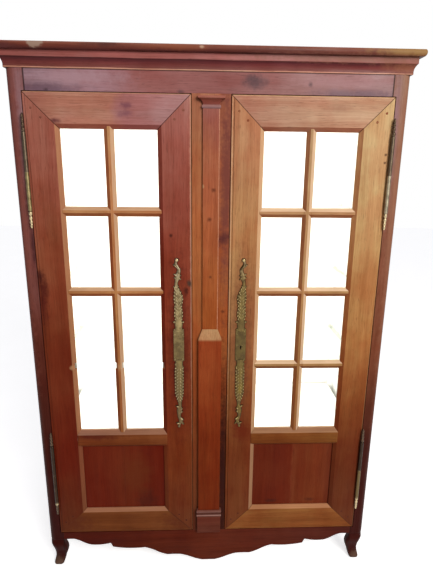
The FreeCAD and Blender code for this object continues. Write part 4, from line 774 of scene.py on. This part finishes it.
# Tips that curl off the ends: middle aside and up, half sizes across, out and along, lean in degrees
CURLS = [
    ((-0.0040, 0.3225), (0.0078, 0.0078, 0.0074), 0), ((-0.0105, 0.3010), (0.0034, 0.0052, 0.0105), -48),
    ((-0.0090, 0.2690), (0.0034, 0.0052, 0.0085), -62), ((-0.0090, 0.2580), (0.0034, 0.0050, 0.0080), -72),
    ((0.0052, 0.2690), (0.0034, 0.0052, 0.0072), -58), ((0.0052, 0.2560), (0.0034, 0.0052, 0.0072), -50),
    ((-0.0125, 0.2240), (0.0030, 0.0050, 0.0070), -40), ((-0.0130, 0.1480), (0.0040, 0.0056, 0.0044), -30),
    ((-0.0160, 0.0955), (0.0048, 0.0060, 0.0042), 20), ((0.0160, 0.0955), (0.0048, 0.0060, 0.0042), -20),
    ((-0.0150, 0.0660), (0.0042, 0.0052, 0.0046), 0), ((0.0150, 0.0660), (0.0042, 0.0052, 0.0046), 0),
    ((-0.0130, -0.0690), (0.0040, 0.0052, 0.0060), 0), ((0.0145, -0.0810), (0.0040, 0.0056, 0.0050), 0),
    ((-0.0075, -0.2410), (0.0036, 0.0062, 0.0082), -60), ((0.0070, -0.2510), (0.0034, 0.0060, 0.0074), 58),
    ((0.0070, -0.2640), (0.0034, 0.0060, 0.0074), 58), ((0.0085, -0.2920), (0.0040, 0.0066, 0.0110), -46),
    ((-0.0055, -0.3115), (0.0038, 0.0062, 0.0080), -70), ((0.0100, -0.3090), (0.0044, 0.0048, 0.0115), -34),
    ((-0.0020, -0.3245), (0.0050, 0.0056, 0.0052), 0),
]


def plain_panel(shape, low, high, pierced):
    """A flat stretch of the plate with eased front edges, pierced for the key or not."""
    rim = [shape.verts.new((x, 0, z)) for x, z in ((-PLATE_HALF, low), (PLATE_HALF, low),
                                                   (PLATE_HALF, high), (-PLATE_HALF, high))]
    loops = [rim]
    if pierced:
        dip = math.asin(KEYHOLE_SLOT / KEYHOLE_RADIUS)
        turns = [-math.pi / 2 + dip + share / KEYHOLE_SIDES * (2 * math.pi - 2 * dip)
                 for share in range(KEYHOLE_SIDES + 1)]
        eye = [shape.verts.new((KEYHOLE_RADIUS * math.cos(turn), 0, KEYHOLE_RADIUS * math.sin(turn)))
               for turn in turns]
        foot = [shape.verts.new((x, 0, -KEYHOLE_DROP)) for x in (-KEYHOLE_SLOT, KEYHOLE_SLOT)]
        loops.append(eye + foot)
    edges = []
    for loop in loops:
        edges += [shape.edges.new((loop[n - 1], loop[n])) for n in range(len(loop))]
    flat = bmesh.ops.triangle_fill(shape, use_beauty=True, edges=edges, normal=(0, -1, 0))
    faces = [item for item in flat["geom"] if isinstance(item, bmesh.types.BMFace)]
    raised = bmesh.ops.extrude_face_region(shape, geom=faces, use_keep_orig=True)["geom"]
    front = [item for item in raised if isinstance(item, bmesh.types.BMVert)]
    bmesh.ops.translate(shape, vec=(0, -PLATE_THICK, 0), verts=front)
    outer = [item for item in raised if isinstance(item, bmesh.types.BMEdge) and len(item.link_faces) == 2
             and item.calc_face_angle() > 1.0]
    bmesh.ops.bevel(shape, geom=outer, offset=PLATE_EASE, segments=2, profile=0.5, affect="EDGES",
                    material=-1)


def outline(rows, height):
    """How far a leafy end's middle lies aside at a height, and its half width there."""
    for first, second in zip(rows, rows[1:]):
        gone = (height - first[0]) / (second[0] - first[0])
        if gone <= 1:
            share = gone * gone * (3 - 2 * gone)
            return [start + (stop - start) * share for start, stop in zip(first[1:], second[1:])]


def leafy_end(shape, rows):
    """A rounded ribbon that swells, narrows and winds through the rows."""
    height, half = rows[0][0], rows[0][2]
    at = Vector((rows[0][1], 0, height))
    ring = bmesh.ops.create_circle(shape, cap_ends=True, segments=LEAF_SIDES, radius=half)["verts"]
    bmesh.ops.scale(shape, vec=(1, LEAF_DEPTH / half, 1), verts=ring)
    bmesh.ops.translate(shape, vec=at, verts=ring)
    cap = ring[0].link_faces[0]
    for first, second in zip(rows, rows[1:]):
        for step in range(1, LEAF_STEPS + 1):
            height = first[0] + (second[0] - first[0]) * step / LEAF_STEPS
            aside, new_half = outline([first, second], height)
            cap = bmesh.ops.extrude_discrete_faces(shape, faces=[cap])["faces"][0]
            move = Vector((aside, 0, height)) - at
            bmesh.ops.translate(shape, vec=move, verts=cap.verts)
            at += move
            bmesh.ops.scale(shape, vec=(new_half / half, 1, 1), space=Matrix.Translation(-at),
                            verts=cap.verts)
            half = new_half


def swell(shape, middle, reach, lean):
    """A rounded leaflet or bead: half sizes across, out and along, leaning by an angle."""
    where = (Matrix.Translation((middle[0], 0, middle[1])) @ Matrix.Rotation(math.radians(lean), 4, "Y")
             @ Matrix.Diagonal((*reach, 1)))
    bmesh.ops.create_uvsphere(shape, u_segments=12, v_segments=8, radius=1.0, matrix=where)


def key_plate(name, body, node, brass, pierced, hand):
    """One relief plate in place of a flat one, with its scrolls turned to the left or right hand."""
    low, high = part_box(node)
    shape = bmesh.new()
    for rows in (UPPER_END, LOWER_END):
        leafy_end(shape, rows)
    for middle, reach, lean in CURLS:
        swell(shape, middle, reach, lean)
    for rows, first, step, number in LEAFLETS:
        for count in range(number):
            height = first + step * count
            aside, half = outline(rows, height)
            for side in (-1, 1):
                edge = (aside + side * (half - BEAD_INSET), height)
                swell(shape, edge, BEAD, side * math.copysign(BEAD_LEAN, step))
                vein = (aside + side * RIB_SHARE * half, height + step / 2)
                swell(shape, vein, RIB, side * math.copysign(RIB_LEAN, step))
    for face in shape.faces:
        face.smooth = len(face.verts) <= 4
    plain_panel(shape, PLATE_SEAM, PLATE_TOP, False)
    plain_panel(shape, PLATE_BOTTOM, PLATE_SEAM, pierced)
    bmesh.ops.bisect_plane(shape, geom=shape.verts[:] + shape.edges[:] + shape.faces[:], dist=1e-6,
                           plane_co=(0, 0, 0), plane_no=(0, 1, 0), clear_outer=True)
    bmesh.ops.holes_fill(shape, edges=[edge for edge in shape.edges if edge.is_boundary])
    bmesh.ops.scale(shape, vec=(hand, 1, 1), verts=shape.verts)
    bmesh.ops.recalc_face_normals(shape, faces=shape.faces)
    bmesh.ops.translate(shape, vec=((low.x + high.x) / 2, high.y, (low.z + high.z) / 2), verts=shape.verts)
    mesh = bpy.data.meshes.new(name)
    shape.to_mesh(mesh)
    shape.free()
    mesh.materials.append(brass)
    made = bpy.data.objects.new(name, mesh)
    bpy.context.collection.objects.link(made)
    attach(made, body)
    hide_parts(node)


# The plates' skins darken towards their lower ends, partly as painted shade.
left_skin = [(0.64, tone(110, 90, 62)), (0.80, tone(104, 88, 54)), (0.90, tone(130, 111, 69)),
             (1.00, tone(158, 136, 90)), (1.20, tone(164, 146, 108)), (1.29, tone(190, 174, 148))]
right_skin = [(0.64, tone(112, 92, 44)), (0.80, tone(118, 98, 44)), (0.90, tone(112, 94, 50)),
              (1.00, tone(122, 104, 58)), (1.20, tone(126, 106, 60)), (1.29, tone(160, 138, 104))]
plate_relief_light = (0.2402, 0.2436, 0.2456)
left_brass = old_brass("left_plate_brass", tone(104, 86, 54), left_skin, tone(200, 180, 136),
                       relief_light=plate_relief_light)
right_brass = old_brass("right_plate_brass", tone(88, 70, 40), right_skin, tone(196, 172, 118),
                        relief_light=plate_relief_light)
key_plate("left_relief_plate", "left_door", "left_door_key_plate", left_brass, False, 1)
key_plate("right_relief_plate", "right_door", "right_door_key_plate", right_brass, True, -1)
finish(left_brass, "left_door_plate_nails")
finish(right_brass, "right_door_plate_nails")


# Lock and bolts: a forged rim lock inside the right door, and two slide bolts in their guides
# inside the left door, all of dark oiled iron.

def dark_iron(name):
    """Forged iron, nearly black, with brown rust in the hollows and grey arrises."""
    material, tree, place = blank_material(name)
    scale = cloud(tree, place, (90, 90, 90), detail=5)
    colour = tint(tree, ramp(tree, scale, 0.35, 0.7), tone(44, 40, 38), tone(74, 60, 50))
    rusty = ramp(tree, openness(tree, 0.006), 0.3, 0.9, 0.7, 0.0)
    colour = tint(tree, rusty, colour, tone(70, 40, 24))
    arris, eased = arrises(tree, 0.0012, 0.02, 0.2)
    colour = tint(tree, reckon(tree, "MULTIPLY", arris, 0.7), colour, tone(128, 124, 118))
    bump = add(tree, "Bump", {"Strength": 0.4, "Distance": 0.0006, "Height": scale, "Normal": eased})
    return dressed(material, colour, ramp(tree, scale, 0.3, 0.7, 0.42, 0.68), bump, ("Metallic", 0.8))


finish(dark_iron("lock_iron"), "lock_case", "lock_bolt", "top_slide_bolt", "bottom_slide_bolt",
       "slide_bolt_guides")


# Floor, light and camera: a pale floor that meets a white surround, a large soft lamp to the
# viewer's right, a fill behind the doors, and the eye where the photograph was taken from.

FLOOR_REACH = 12.0
floor_mesh = bpy.data.meshes.new("floor")
shape = bmesh.new()
bmesh.ops.create_grid(shape, x_segments=8, y_segments=8, size=FLOOR_REACH)
shape.to_mesh(floor_mesh)
shape.free()
floor = bpy.data.objects.new("floor", floor_mesh)
bpy.context.collection.objects.link(floor)
floor.visible_diffuse = False
floor_paint, tree, place = blank_material("floor_paint")
mottle = cloud(tree, place, (3, 3, 3), detail=4)
shader = tree.nodes["Principled BSDF"]
tree.links.new(tint(tree, ramp(tree, mottle, 0.3, 0.7), tone(246, 246, 245), tone(250, 250, 249)),
               shader.inputs["Base Color"])
WHITE = (1.0, 1.0, 1.0, 1.0)
for socket, value in (("Roughness", 0.85), ("Specular IOR Level", 0.1), ("Emission Color", WHITE),
                      ("Emission Strength", 0.6)):
    shader.inputs[socket].default_value = value
floor_paint.cycles.emission_sampling = "NONE"
floor_mesh.materials.append(floor_paint)

SKY_GREY = (0.34, 0.34, 0.37, 1.0)
GROUND_GREY = (0.13, 0.12, 0.12, 1.0)
WHITE_FROM, WHITE_FULL = 0.70, 0.86
surround = bpy.data.worlds.new("surround")
surround.use_nodes = True
tree = surround.node_tree
way = add(tree, "SeparateXYZ", {"Vector": add(tree, "TexCoord", {}).outputs["Generated"]}).outputs
front = tint(tree, ramp(tree, way["Z"], -0.3, 0.4), GROUND_GREY, SKY_GREY)
tree.links.new(tint(tree, ramp(tree, way["Y"], WHITE_FROM, WHITE_FULL), front, WHITE),
               tree.nodes["Background"].inputs["Color"])
bpy.context.scene.world = surround


def lamp(name, at, aim, size, power, colour, hidden=False):
    """A soft lamp at a place, turned towards its aim."""
    light = bpy.data.lights.new(name, "AREA")
    light.shape = "RECTANGLE"
    light.size, light.size_y = size
    light.energy = power
    light.color = colour
    made = bpy.data.objects.new(name, light)
    made.location = at
    made.rotation_euler = (Vector(aim) - Vector(at)).to_track_quat("-Z", "Y").to_euler()
    made.visible_camera = not hidden
    made.visible_glossy = not hidden
    bpy.context.collection.objects.link(made)


lamp("key_lamp", at=(1.7, -3.4, 2.9), aim=(0.0, -0.2, 1.2), size=(2.2, 2.2), power=140,
     colour=(1.0, 0.98, 0.95))
lamp("inside_fill", at=(0.0, -0.17, 1.22), aim=(0.0, 0.3, 1.22), size=(1.14, 1.24), power=13,
     colour=(1.0, 1.0, 1.0), hidden=True)

EYE = Vector((-0.0402, -1.7814, 1.5791))
YAW = math.radians(2.328)
PITCH = math.radians(-14.33)
ROLL = math.radians(0.6)
camera = bpy.data.objects.new("camera", bpy.data.cameras.new("camera"))
camera.data.lens = 28.0
camera.data.sensor_width = 36.0
camera.data.clip_start = 0.05
camera.matrix_world = (Matrix.Translation(EYE) @ Matrix.Rotation(-YAW, 4, "Z")
                       @ Matrix.Rotation(math.pi / 2 + PITCH, 4, "X") @ Matrix.Rotation(ROLL, 4, "Z"))
bpy.context.collection.objects.link(camera)
bpy.context.scene.camera = camera
bpy.context.scene.view_settings.view_transform = "Standard"
